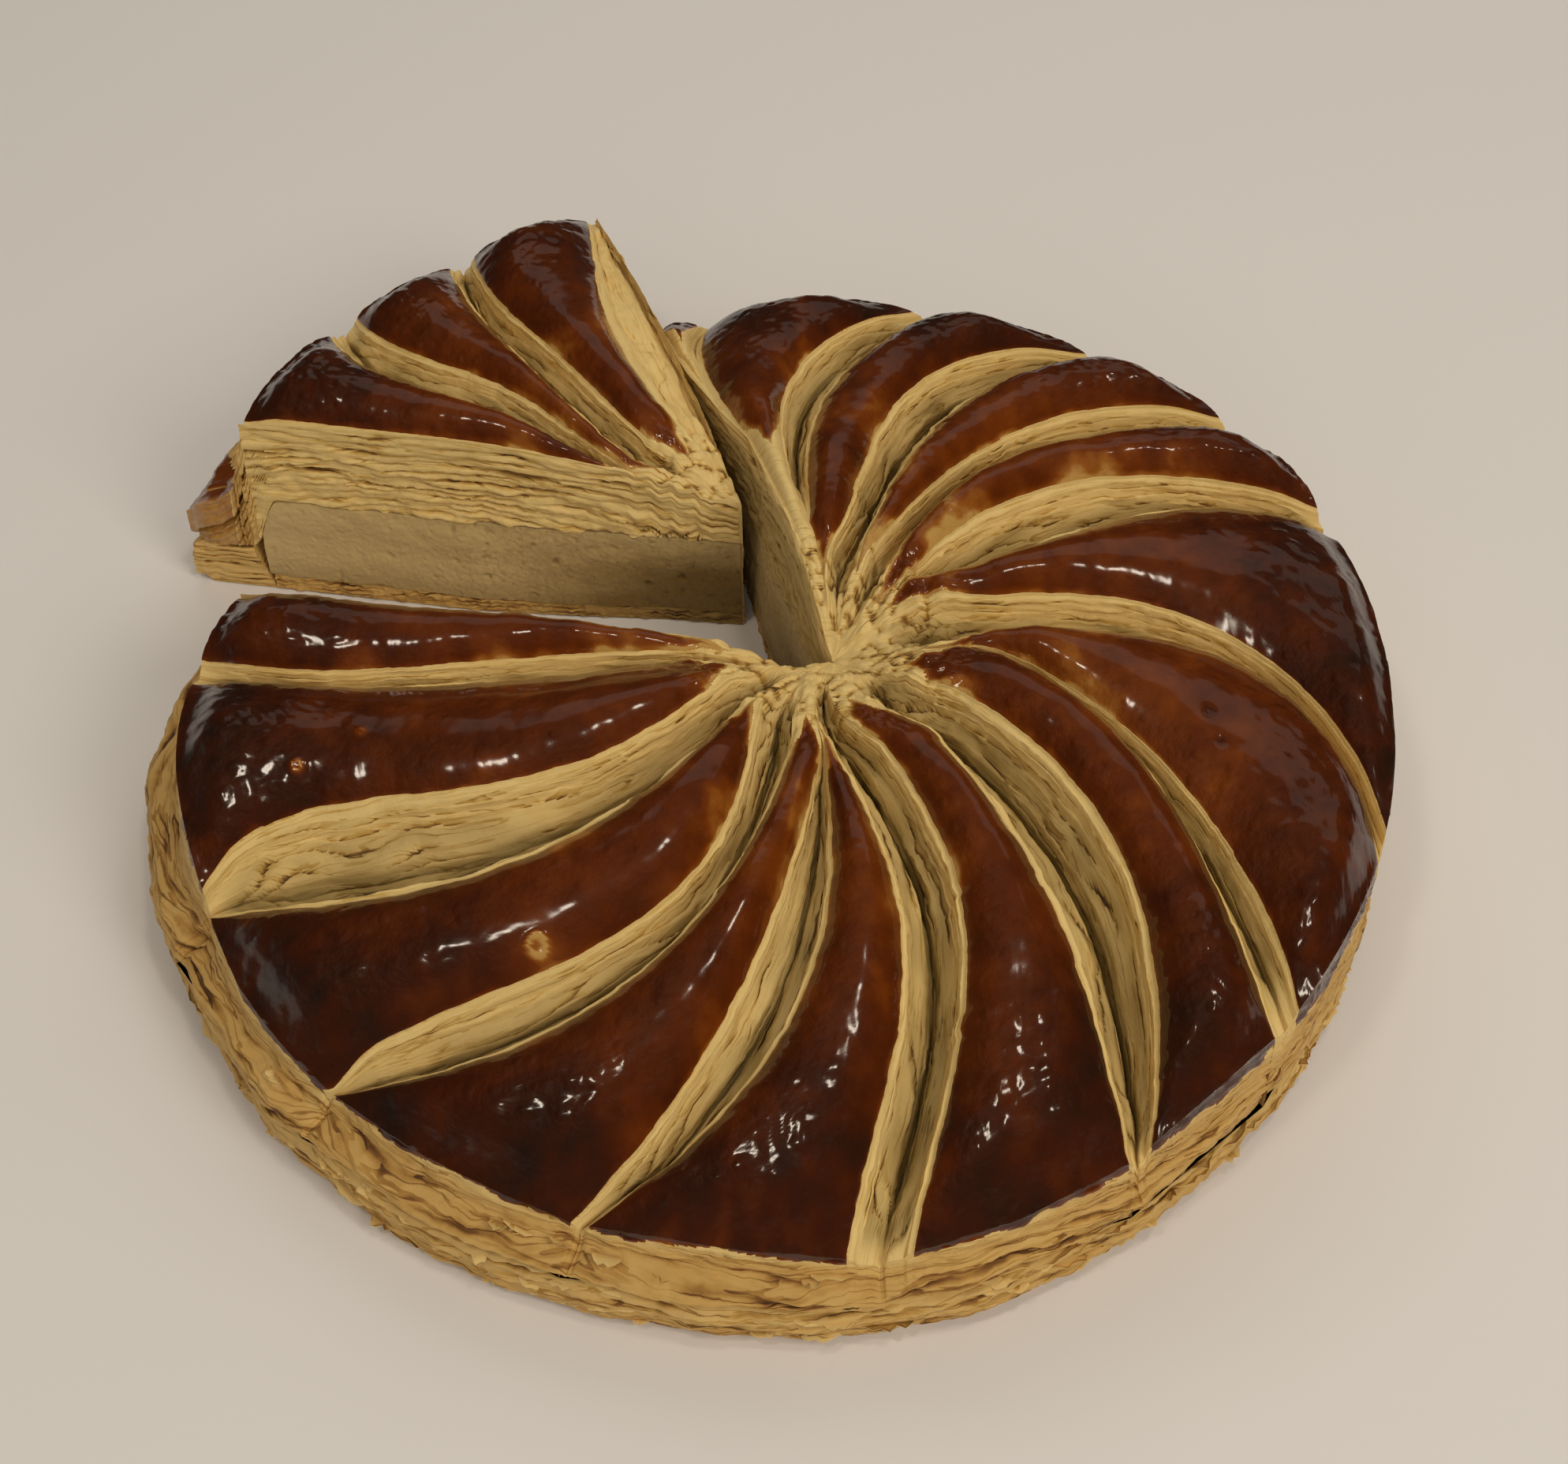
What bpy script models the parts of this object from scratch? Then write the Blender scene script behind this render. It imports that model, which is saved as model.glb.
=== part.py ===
"""Galette des rois: a round puff pastry cake with an almond filling, scored in a swirl.

The cake rests on its flat underside on Z = 0. One slice is cut and drawn a little out of its gap.
Both pieces are built in the same way: a bottom pastry with a raised rim, the filling, and a top
pastry whose petals stand between curved grooves. Lengths are metres, angles are degrees
counterclockwise from +X, and a piece's own polar coordinates start at its tip.
"""

from collections import namedtuple

import bmesh
import bpy
import numpy as np

MILLIMETRE = 0.001
CAKE_RADIUS = 0.100
FRAME_CENTRE = (-0.0034, 0.0142)  # the frame's origin, from the centre of the base circle
GAP = 0.35 * MILLIMETRE  # clearance between pieces that touch
ROOF_GAP = 0.6 * MILLIMETRE  # clearance over the filling, whose facets differ

# Fractions of the cake's radius.
FLOOR_THICKNESS = 0.030
SEAM_HEIGHT = 0.092
RIM_BULGE = 0.014
FILLING_EDGE = 0.86
FILLING_TOP = 0.205
ROOF_OVER_FILLING = 0.128
HUB_DIP = 0.10
HUB_DIP_RADIUS = 0.13
DOME_POWER = 2.6
CROWN_RISE = 0.016
EDGE_DROP = 0.014
UNDERSIDE_HEIGHT = 0.006  # of the lower edge, where the floor turns up
BULGE_HEIGHT = 0.055
WALL_WAIST = 0.45  # the top's outer wall bends inwards at this share of its height

# Shares of a distance from the tip.
FOOT_EDGE = 0.97
RIM_INSIDE = 1.04
FILLING_LIP = 1.028
ROOF_LIP = 1.045
ROOF_FOLLOWS = 0.97
WAIST_REACH = 0.70
END_DISTANCE = 0.95  # where a petal's end is read

# Hub and groove shapes.
DIP_POWER = 1.6
GROOVE_RAMP = 0.20
LIFT_STARTS = (0.10, 0.40)
RIM_STARTS = 0.80
RIM_FADE = 0.45
LEAST_COLUMN = 0.004
LEAST_DISTANCE = 0.05
INNER_KNOT = 0.2
COLUMN_ROOM = 2.5

EDGE_KNOTS = np.array([0.25, 0.50, 0.75, 1.00])
TOP_ROWS = np.array([0.07, 0.14, 0.22, 0.31, 0.41, 0.51, 0.61, 0.71, 0.81, 0.90, 0.96, 1.0])
INNER_ROWS = np.array([0.25, 0.50, 0.70])
PETAL_COLUMNS = np.array([0.0, 0.22, 0.5, 0.78, 1.0])
FLOOR_COLUMNS = np.array([0.36, 0.64])

# A petal's two edges are given by their angles at the four EDGE_KNOTS. Its outer end has a
# radius from the base's centre and a height. The groove after it has a depth, and starts at this
# share of the way out.
Petal = namedtuple("Petal", "left right end_radius end_height groove_depth groove_start")

MAIN_PETALS = [
    Petal((109, 109, 108, 107), (108, 108, 107, 100), 0.970, 0.30, 0.050, 0.62),
    Petal((105, 106, 104, 97), (98.9, 99.5, 90.7, 70.9), 0.985, 0.34, 0.060, 0.28),
    Petal((97.3, 92.6, 82.8, 66.4), (83.8, 79.2, 69.6, 42.8), 1.000, 0.35, 0.090, 0.05),
    Petal((73.0, 69.3, 60.4, 40.1), (66.0, 58.1, 47.0, 28.1), 1.010, 0.37, 0.100, 0.05),
    Petal((57.7, 51.9, 39.1, 24.9), (45.8, 40.8, 27.6, 13.5), 1.012, 0.38, 0.110, 0.05),
    Petal((28.4, 27.1, 21.7, 5.8), (13.3, 6.2, -8.8, -34.3), 0.990, 0.35, 0.110, 0.05),
    Petal((-3.8, -2.6, -12.2, -37.5), (-11.7, -25.9, -37.6, -48.5), 0.988, 0.31, 0.060, 0.08),
    Petal((-13.7, -28.2, -42.0, -50.5), (-37.0, -42.2, -52.9, -65.1), 0.990, 0.25, 0.110, 0.05),
    Petal((-58.1, -58.3, -62.4, -66.3), (-75.0, -70.9, -77.2, -84.8), 0.985, 0.20, 0.090, 0.05),
    Petal((-92.1, -81.6, -84.6, -90.0), (-94.8, -91.8, -97.5, -109.6), 0.958, 0.185, 0.070, 0.20),
    Petal((-95.4, -99.5, -104.3, -111.2), (-105.0, -108.4, -117.4, -131.8), 0.953, 0.18, 0.080, 0.08),
    Petal((-121.3, -114.1, -124.8, -135.2), (-130.3, -132.7, -141.5, -152.7), 0.960, 0.20, 0.110, 0.05),
    Petal((-145.6, -146.0, -155.9, -159.3), (-175.5, -173.6, -174.9, -177.8), 0.930, 0.31, 0.060, 0.08),
    Petal((-181.2, -179.1, -177.8, -180.1), (-189, -189, -189, -189), 0.905, 0.33, 0.000, 0.05),
]
SLICE_PETALS = [
    Petal((169.6, 169.6, 169.4, 168.6), (168, 159, 156, 142), 0.815, 0.385, 0.070, 0.08),
    Petal((163, 151, 150, 137), (156, 142, 135, 124), 0.830, 0.365, 0.080, 0.08),
    Petal((142, 135, 131, 120), (125, 120, 113, 111), 0.870, 0.360, 0.090, 0.08),
]

# A piece of cake: where its tip is, its base circle, the two cuts, the height of its crown, where
# its rim swells out or draws in, each as (angle, half width, amount), and how far the top sags
# towards the last cut.
Piece = namedtuple(
    "Piece", "tip base_centre base_radius first_cut last_cut crown petals swells sag"
)

MAIN_SWELLS = [(-174, 14, 0.026), (-84, 18, 0.018), (-42, 20, -0.015)]
MAIN = Piece(
    (0.112, 0.042), (0.0, 0.0), 1.0, 109.5, -189.0, 0.400, MAIN_PETALS, MAIN_SWELLS, 0.065
)
SLICE = Piece((-0.040, 0.420), (-0.150, 0.375), 0.945, 170.0, 109.9, 0.405, SLICE_PETALS, [], 0.0)
SAG_FROM = -148.0  # the angle at which the top starts to sag
SAG_FULL = -176.0


def clear_scene():
    for obj in list(bpy.data.objects):
        bpy.data.objects.remove(obj, do_unlink=True)


def make_material(name, colour, roughness, coat=0.0):
    material = bpy.data.materials.new(name)
    material.use_nodes = True
    shader = material.node_tree.nodes["Principled BSDF"]
    shader.inputs["Base Color"].default_value = (*colour, 1.0)
    shader.inputs["Roughness"].default_value = roughness
    shader.inputs["Metallic"].default_value = 0.0
    shader.inputs["Coat Weight"].default_value = coat
    return material


def directions(angles):
    radians = np.radians(angles)
    return np.stack([np.cos(radians), np.sin(radians)], axis=-1)


def reach(piece, angles, radius):
    """Distance from the piece's tip to the circle of this radius about the base's centre."""
    offset = np.subtract(piece.tip, piece.base_centre)
    along = directions(angles) @ offset
    swell = sum(size * np.exp(-(((angles - at) / width) ** 2)) for at, width, size in piece.swells)
    return -along + np.sqrt(along**2 + np.square(radius + swell) - offset @ offset)


def smooth_step(value, start, stop):
    share = np.clip((value - start) / (stop - start), 0.0, 1.0)
    return share * share * (3.0 - 2.0 * share)


def edge_angle(knot_angles, distance):
    """The angle of a petal's edge: a cubic through its four knots, held inside the first."""
    curve = np.polyfit(EDGE_KNOTS, knot_angles, 3)
    return np.polyval(curve, np.maximum(distance, INNER_KNOT))


def end_values(piece, angles):
    """The petals' end radius and end height, blended between the middles of their ends."""
    middles = np.array([(petal.left[3] + petal.right[3]) / 2.0 for petal in piece.petals])
    radii = np.array([petal.end_radius for petal in piece.petals])
    heights = np.array([petal.end_height for petal in piece.petals])
    order = np.argsort(middles)
    return (
        np.interp(angles, middles[order], radii[order]),
        np.interp(angles, middles[order], heights[order]),
    )


def hub_dip(share):
    """How far the crumpled middle sinks, at this share of the way from the tip."""
    return HUB_DIP * np.exp(-((share / HUB_DIP_RADIUS) ** DIP_POWER))


def dome_height(piece, share, end_height):
    """The height of the glazed top at this share of the way from the tip to the petal's end."""
    fall = 1.0 - share**DOME_POWER
    return end_height + (piece.crown - end_height) * fall - hub_dip(share)


def sag_depth(piece, angles, share):
    """How far the top sinks near the last cut: most at the tip, and nothing at the rim."""
    return piece.sag * (1.0 - share**2) * smooth_step(-angles, -SAG_FROM, -SAG_FULL)


def groove_share(share, start):
    """How much of its depth a groove has: it starts at a share and is shallower at the rim."""
    deep = smooth_step(share, start, start + GROOVE_RAMP)
    return deep * (1.0 - RIM_FADE * smooth_step(share, RIM_STARTS, 1.0))


def top_columns(piece):
    """The columns of the scored top, from the first cut to the last.

    Each column is (angle at each row's distance, distance, height above the dome). The rows run
    outwards from the tip, and the columns follow the petals' edges and the grooves' floors.
    """
    columns = []

    def add(angles_at, lift, depth, start=0.0):
        end_angle = float(angles_at(np.array(END_DISTANCE)))
        end_radius, end_height = end_values(piece, end_angle)
        distance = TOP_ROWS * reach(piece, end_angle, end_radius)
        angles = angles_at(distance)
        height = dome_height(piece, TOP_ROWS, end_height)
        height = height + lift * smooth_step(TOP_ROWS, *LIFT_STARTS)
        height = height - depth * groove_share(TOP_ROWS, start)
        height = height - sag_depth(piece, angles, TOP_ROWS)
        columns.append((angles, distance, height))

    first, last = piece.petals[0], piece.petals[-1]
    add(lambda d: np.full(np.shape(d), piece.first_cut), -EDGE_DROP, 0.0)
    for index, petal in enumerate(piece.petals):
        for across in PETAL_COLUMNS:
            crown = 4.0 * across * (1.0 - across)
            lift = CROWN_RISE * crown - EDGE_DROP * (1.0 - crown)

            def inside(d, petal=petal, across=across):
                left = edge_angle(petal.left, d)
                return left + (edge_angle(petal.right, d) - left) * across

            add(inside, lift, 0.0)
        if petal is last:
            break
        following = piece.petals[index + 1]
        for across in FLOOR_COLUMNS:

            def between(d, petal=petal, following=following, across=across):
                right = edge_angle(petal.right, d)
                left = edge_angle(following.left, d)
                return right + (left - right) * across

            add(between, -EDGE_DROP, petal.groove_depth, petal.groove_start)
    add(lambda d: np.full(np.shape(d), piece.last_cut), -EDGE_DROP, last.groove_depth)
    return columns


def spread_columns(angles, distances):
    """Keeps each column at least a little clockwise of the one before, so that no face folds."""
    spread = np.array(angles)
    least = np.degrees(LEAST_COLUMN / np.maximum(distances, LEAST_DISTANCE))
    lowest = spread[-1]
    for column in range(1, len(spread) - 1):
        room = least[column] * (len(spread) - 1 - column)
        spread[column] = np.minimum(spread[column], spread[column - 1] - least[column])
        spread[column] = np.maximum(spread[column], lowest + np.minimum(room, COLUMN_ROOM))
    for column in range(len(spread) - 2, 0, -1):
        spread[column] = np.maximum(spread[column], spread[column + 1] + 0.25 * least[column])
    return spread


def world_points(piece, angles, distances, heights):
    """Points in the frame, in metres, from polar coordinates about the piece's tip."""
    angles, distances, heights = np.broadcast_arrays(angles, distances, heights)
    plan = np.array(piece.tip) + distances[..., None] * directions(angles)
    points = np.concatenate([plan, heights[..., None]], axis=-1) * CAKE_RADIUS
    points[..., :2] -= FRAME_CENTRE
    return points


def roof_of_filling(piece, angles, share):
    """The height of the filling's top, which follows the dome and thins towards the rim."""
    _, end_height = end_values(piece, angles)
    share = share * ROOF_FOLLOWS
    over = dome_height(piece, share, end_height) + hub_dip(share)
    over = over - sag_depth(piece, angles, share)
    return np.minimum(FILLING_TOP, over - ROOF_OVER_FILLING)


def shell_mesh(name, tip_low, tip_high, low, high):
    """One closed solid from two grids of points, [column][row], that share their first point's line.

    low is the underside and high is the top side, both running outwards from the tip. The outer
    wall joins their last rows, and the two cut faces close the first and last columns.
    """
    builder = bmesh.new()

    def grid(tip, points):
        hub = builder.verts.new(tip)
        return hub, [[builder.verts.new(point) for point in column] for column in points]

    low_hub, low_grid = grid(tip_low, low)
    high_hub, high_grid = grid(tip_high, high)
    for column in range(len(high_grid) - 1):
        for hub, sheet, upward in ((low_hub, low_grid, False), (high_hub, high_grid, True)):
            a, b = sheet[column], sheet[column + 1]
            faces = [(hub, b[0], a[0])]
            faces += [(a[row], b[row], b[row + 1], a[row + 1]) for row in range(len(a) - 1)]
            for face in faces:
                builder.faces.new(face if upward else tuple(reversed(face)))
        a, b = low_grid[column][-1], low_grid[column + 1][-1]
        c, d = high_grid[column + 1][-1], high_grid[column][-1]
        builder.faces.new((a, b, c, d))
    for column in (0, -1):
        outline = [low_hub, *low_grid[column], *reversed(high_grid[column]), high_hub]
        builder.faces.new(outline if column else list(reversed(outline)))
    bmesh.ops.triangulate(builder, faces=list(builder.faces))
    bmesh.ops.recalc_face_normals(builder, faces=list(builder.faces))
    if builder.calc_volume(signed=True) < 0:
        bmesh.ops.reverse_faces(builder, faces=list(builder.faces))
    mesh = bpy.data.meshes.new(name)
    builder.to_mesh(mesh)
    builder.free()
    return mesh


def add_piece(name, mesh, material):
    obj = bpy.data.objects.new(name, mesh)
    mesh.materials.append(material)
    bpy.context.scene.collection.objects.link(obj)
    return obj


def even_angles(piece, step=6.0):
    count = int(round(abs(piece.first_cut - piece.last_cut) / step)) + 1
    return np.linspace(piece.first_cut, piece.last_cut, count)


def bottom_pastry(name, piece, material):
    """A flat floor with a thick raised rim, which bulges a little at the seam."""
    angles = even_angles(piece)[:, None]
    rim = reach(piece, angles, piece.base_radius)
    flare = reach(piece, angles, piece.base_radius + RIM_BULGE)
    inner = rim * FILLING_EDGE
    low = np.concatenate([0.5 * rim, FOOT_EDGE * rim, rim], axis=1)
    low_height = np.array([0.0, 0.0, UNDERSIDE_HEIGHT])
    high = np.concatenate([0.5 * inner, inner, RIM_INSIDE * inner, flare, flare], axis=1)
    high_height = np.array([FLOOR_THICKNESS] * 2 + [SEAM_HEIGHT] * 2 + [BULGE_HEIGHT])
    mesh = shell_mesh(
        name,
        world_points(piece, 0.0, 0.0, 0.0),
        world_points(piece, 0.0, 0.0, FLOOR_THICKNESS),
        world_points(piece, angles, low, low_height),
        world_points(piece, angles, high, high_height),
    )
    return add_piece(name, mesh, material)


def filling(name, piece, material):
    """The almond filling, on the floor and inside the rim, with a top that follows the dome."""
    gap = GAP / CAKE_RADIUS
    angles = even_angles(piece)[:, None]
    inner = reach(piece, angles, piece.base_radius) * FILLING_EDGE
    low = np.concatenate([0.5 * inner, inner - 1.2 * gap], axis=1)
    low_height = np.full(2, FLOOR_THICKNESS + gap)
    shares = np.append(INNER_ROWS, FILLING_EDGE) * np.ones_like(angles)
    high = np.concatenate([shares * inner / FILLING_EDGE, FILLING_LIP * inner], axis=1)
    roof = roof_of_filling(piece, angles, shares)
    roof[:, -1] = 0.5 * (roof[:, -1] + SEAM_HEIGHT)
    high_height = np.concatenate([roof, np.full_like(angles, SEAM_HEIGHT)], axis=1)
    mesh = shell_mesh(
        name,
        world_points(piece, 0.0, 0.0, FLOOR_THICKNESS + gap),
        world_points(piece, 0.0, 0.0, FILLING_TOP),
        world_points(piece, angles, low, low_height),
        world_points(piece, angles, high, high_height),
    )
    return add_piece(name, mesh, material)


def top_pastry(name, piece, material):
    """The scored top: petals between curved grooves, over the filling and down to the seam."""
    gap = GAP / CAKE_RADIUS
    roof_gap = ROOF_GAP / CAKE_RADIUS
    columns = top_columns(piece)
    distances = np.array([column[1] for column in columns])
    heights = np.array([column[2] for column in columns])
    angles = spread_columns([column[0] for column in columns], distances)
    ends = angles[:, -1:]
    flare = reach(piece, ends, piece.base_radius + RIM_BULGE)
    seam = SEAM_HEIGHT + gap
    middle_height = seam + WALL_WAIST * (heights[:, -1:] - seam)
    middle = distances[:, -1:] + WAIST_REACH * (flare - distances[:, -1:])
    high_angles = np.concatenate([angles, ends, ends], axis=1)
    high_distances = np.concatenate([distances, middle, flare], axis=1)
    high_heights = np.concatenate([heights, middle_height, np.full_like(ends, seam)], axis=1)

    inner = reach(piece, ends, piece.base_radius) * FILLING_EDGE
    shares = np.append(INNER_ROWS, FILLING_EDGE) * np.ones_like(ends)
    low = np.concatenate([shares * inner / FILLING_EDGE, ROOF_LIP * inner], axis=1)
    roof = roof_of_filling(piece, ends, shares)
    roof[:, -1] = 0.5 * (roof[:, -1] + SEAM_HEIGHT)
    low_heights = np.concatenate([roof + roof_gap, np.full_like(ends, seam)], axis=1)
    hub_height = piece.crown - HUB_DIP - EDGE_DROP
    mesh = shell_mesh(
        name,
        world_points(piece, 0.0, 0.0, FILLING_TOP + roof_gap),
        world_points(piece, 0.0, 0.0, hub_height),
        world_points(piece, ends, low, low_heights),
        world_points(piece, high_angles, high_distances, high_heights),
    )
    return add_piece(name, mesh, material)


def build():
    clear_scene()
    crust = make_material("baked_pastry", (0.55, 0.31, 0.10), 0.65)
    glazed = make_material("glazed_pastry", (0.16, 0.045, 0.012), 0.22, coat=0.8)
    almond = make_material("almond_filling", (0.50, 0.38, 0.16), 0.75)
    for prefix, piece in (("cake", MAIN), ("slice", SLICE)):
        bottom_pastry(f"{prefix}_bottom_pastry", piece, crust)
        filling(f"{prefix}_filling", piece, almond)
        top_pastry(f"{prefix}_top_pastry", piece, glazed)


build()
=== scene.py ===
"""Looks of a galette des rois: a puff pastry cake with an almond filling, scored in a swirl.

Shapes are worked out in shares of the cake's radius, in polar coordinates about the tip of a
piece (the large piece or the slice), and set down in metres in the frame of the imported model.
"""

from collections import namedtuple
from types import SimpleNamespace

import bpy
import numpy as np
from mathutils import Matrix, Vector


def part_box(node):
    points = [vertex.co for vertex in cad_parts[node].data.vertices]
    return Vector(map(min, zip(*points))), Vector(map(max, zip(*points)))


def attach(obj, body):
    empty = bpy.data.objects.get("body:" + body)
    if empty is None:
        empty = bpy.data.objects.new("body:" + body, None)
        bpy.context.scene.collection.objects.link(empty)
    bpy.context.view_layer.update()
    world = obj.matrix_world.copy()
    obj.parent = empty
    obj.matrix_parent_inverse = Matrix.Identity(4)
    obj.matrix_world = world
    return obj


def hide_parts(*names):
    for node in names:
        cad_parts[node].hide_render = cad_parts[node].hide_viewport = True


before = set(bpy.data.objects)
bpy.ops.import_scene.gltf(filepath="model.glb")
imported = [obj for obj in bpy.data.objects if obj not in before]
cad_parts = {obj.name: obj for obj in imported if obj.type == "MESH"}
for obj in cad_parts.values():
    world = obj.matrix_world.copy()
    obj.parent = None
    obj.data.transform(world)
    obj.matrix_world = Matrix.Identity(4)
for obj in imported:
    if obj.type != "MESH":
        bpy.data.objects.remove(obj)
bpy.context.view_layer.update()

MILLIMETRE = 0.001
CAKE_RADIUS = 0.100
MM = MILLIMETRE / CAKE_RADIUS  # one millimetre as a share of the radius
RIM_BULGE = 0.014
HIGH_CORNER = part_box("cake_bottom_pastry")[1]  # where the bulge reaches along +X and +Y
BASE_CENTRE = np.array(HIGH_CORNER[:2]) - CAKE_RADIUS * (1.0 + RIM_BULGE)

# Shares of the radius.
FLOOR_THICKNESS = 0.030
SEAM_HEIGHT = 0.092
FILLING_EDGE = 0.86
FILLING_TOP = 0.205
ROOF_OVER_FILLING = 0.142
HUB_DIP = 0.10
DIP_POWER = 1.6
DOME_POWER = 2.6
CROWN_RISE = 0.024
EDGE_DROP = 0.014
END_PUFF = 0.014
END_ROLL = 0.046
GAP = 0.0035
ROOF_FOLLOWS = 0.97  # the filling's roof copies the dome at this share of the way out
FIRST_SHARE = 0.008  # of the way out, where a petal's first row lies
END_DISTANCE = 0.95  # where a petal's end is read
LEAST_WIDTH = 0.0016  # between two edges
LEAST_DISTANCE = 0.05  # from the tip, where widths nearer to it are turned into angles

# Millimetres.
LEAF_STEP = 1.6  # down from one torn leaf of a groove's wall to the next
RIM_LEAF = 1.7
FINE_LEAF = 0.7
FLAKE_THICKNESS = 0.17

EDGE_KNOTS = np.array([0.25, 0.50, 0.75, 1.00])

# A petal's two edges are given by their angles at the four EDGE_KNOTS. Its outer end has a
# radius from the base's centre and a height. The groove after it has a depth, and starts at a
# share of the way out. The glaze starts at a distance from the tip, and near the tip both edges
# turn towards the tip angle. Angles are in degrees, all else in shares of the radius.
Petal = namedtuple(
    "Petal", "left right end_radius end_height groove_depth groove_start glaze_start tip_angle"
)

MAIN_PETALS = [Petal(*values) for values in (
    ((108.6, 107.6, 108.9, 108.3), (108.0, 107.0, 108.3, 102.4), 0.97, 0.3, 0.05, 0.8, 0.84, 108.5),
    ((107.2, 106.3, 107.2, 98.6), (98.9, 99.5, 90.7, 70.9), 0.985, 0.34, 0.07, 0.28, 0.43, 102),
    ((97.3, 92.6, 82.8, 66.4), (83.8, 79.2, 69.6, 42.8), 1.0, 0.35, 0.09, 0.05, 0.08, 101),
    ((73.0, 69.3, 60.4, 40.1), (66.0, 58.1, 47.0, 28.1), 1.01, 0.37, 0.1, 0.05, 0.12, 72),
    ((57.7, 51.9, 39.1, 24.9), (45.8, 40.8, 27.6, 13.5), 1.012, 0.38, 0.11, 0.05, 0.08, 48),
    ((28.4, 27.1, 21.7, 5.8), (13.3, 6.2, -8.8, -34.3), 1.0, 0.35, 0.11, 0.05, 0.08, 36),
    ((-3.8, -2.6, -12.2, -37.5), (-11.7, -25.9, -37.6, -48.5), 1.012, 0.32, 0.06, 0.08, 0.11, -22),
    ((-13.7, -28.2, -42.0, -50.5), (-37.0, -42.2, -52.9, -65.1), 0.998, 0.26, 0.11, 0.05, 0.11, -30),
    ((-58.1, -58.3, -62.4, -66.3), (-75.0, -70.9, -77.2, -84.8), 0.985, 0.2, 0.09, 0.05, 0.13, -84),
    ((-92.1, -81.6, -84.6, -90.0), (-94.8, -91.8, -97.5, -109.6), 0.958, 0.185, 0.07, 0.2, 0.18, -100),
    ((-95.4, -99.5, -104.3, -111.2), (-105.0, -108.4, -117.4, -131.8), 0.953, 0.18, 0.08, 0.08, 0.18, -106),
    ((-121.3, -114.1, -124.8, -135.2), (-130.3, -132.7, -141.5, -152.7), 0.96, 0.2, 0.11, 0.05, 0.18, -127),
    ((-145.6, -146.0, -155.9, -159.3), (-175.5, -173.6, -174.9, -177.8), 0.93, 0.31, 0.06, 0.08, 0.14, -160),
    ((-181.2, -179.1, -177.8, -180.1), (-189, -189, -189, -189), 0.905, 0.33, 0.0, 0.05, 0.15, -184),
)]
SLICE_PETALS = [Petal(*values) for values in (
    ((169.6, 169.6, 169.4, 168.6), (168, 159, 156, 142), 0.815, 0.385, 0.07, 0.08, 0.14, 166.0),
    ((163, 151, 150, 137), (156, 142, 135, 124), 0.83, 0.365, 0.08, 0.08, 0.12, 158.0),
    ((142, 135, 131, 120), (125, 120, 113, 111), 0.87, 0.36, 0.035, 0.08, 0.12, 134.0),
)]

# A piece's base circle has swells: the angle where each is widest, its width in degrees and its
# size. crown is the height of the dome's middle, sag how far the top sinks near the last cut, and
# dip_radius how far the dip about the tip reaches. cut_top and cut_foot tell how far the first
# cut's face stands out of a flat cut at its top and foot, in millimetres, at the CUT_KNOTS'
# distances from the tip. The last field is added to each petal's bake: the negative values
# lighten some petals' glaze as a painted sheen, where the glaze mirrors the room behind, and the
# small positive ones brown it.
Piece = namedtuple(
    "Piece",
    "name tip base_centre base_radius first_cut last_cut crown petals swells sag dip_radius"
    " cut_top cut_foot browning",
)
CUT_KNOTS = np.array([0.0, 0.15, 0.32, 0.50, 0.60, 0.75, 1.00])
MAIN = Piece(
    "cake", (0.112, 0.042), (0.0, 0.0), 1.0, 109.5, -189.0, 0.400, MAIN_PETALS,
    [(-174, 14, 0.026), (-84, 18, 0.018), (-42, 20, 0.0)], 0.065, 0.13,
    (0.0, -1.1, -2.2, -2.9, -0.9, 0.5, 0.0), (0.0, 1.6, 0.5, -1.8, -3.6, -3.8, -3.0),
    # Per-petal bake: the negative values are painted sheen on the glaze.
    (0.0, 0.0, 0.0, -0.13, -0.16, 0.0, -0.10, 0.0, 0.0, 0.0, 0.0, 0.0, 0.02, 0.0),
)
SLICE = Piece(
    "slice", (-0.040, 0.420), (-0.150, 0.375), 0.945, 170.0, 109.9, 0.405, SLICE_PETALS, [], 0.0, 0.28,
    # The last values: the slice's second petal is lightened as painted sheen.
    (0.0, 0.0, 0.0, 0.0, 0.0, 0.0, 0.0), (0.0, 0.8, 2.6, 4.0, 4.0, 4.0, 4.0), (0.02, -0.13, 0.0),
)
# Small marks of the large piece's glaze: place from the base's centre, radius in millimetres, how
# high its ring stands in millimetres, and how much darker it is.
MARKS = [
    (-0.337, -0.551, 1.3, 0.55, -0.50),
    (-0.732, -0.211, 0.8, 0.50, -0.60),
    (-0.635, -0.159, 0.6, 0.35, -0.40),
    (0.690, -0.170, 0.7, -0.30, 0.16),
    (0.702, -0.226, 0.5, -0.30, 0.16),
]
SAG_FROM = 148.0  # degrees clockwise from +X, where the top starts to sag
SAG_FULL = 176.0
BEND_FADES = 14.0  # degrees behind the first cut, where its bend has gone

SHARP_ANGLE = np.radians(62.0)  # between faces, from where their edge looks sharp

# How finely the surfaces are divided.
TOP_ROWS = 180
WALL_ROWS = 48
PETAL_COLUMNS = 76
GROOVE_COLUMNS = 90
FACE_COLUMNS = 60
RIM_STEPS = 3.6  # in a degree
RIM_SHARES = np.array([0.0, 0.2, 0.4, 0.6, 0.7, 0.8, 0.86, 0.92, 0.96, 1.0])
FLAKES = {"cake": 340, "slice": 70}
FLAKE_GRID = (7, 4)
HALVES = (slice(None, -1), slice(1, None))

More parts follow.
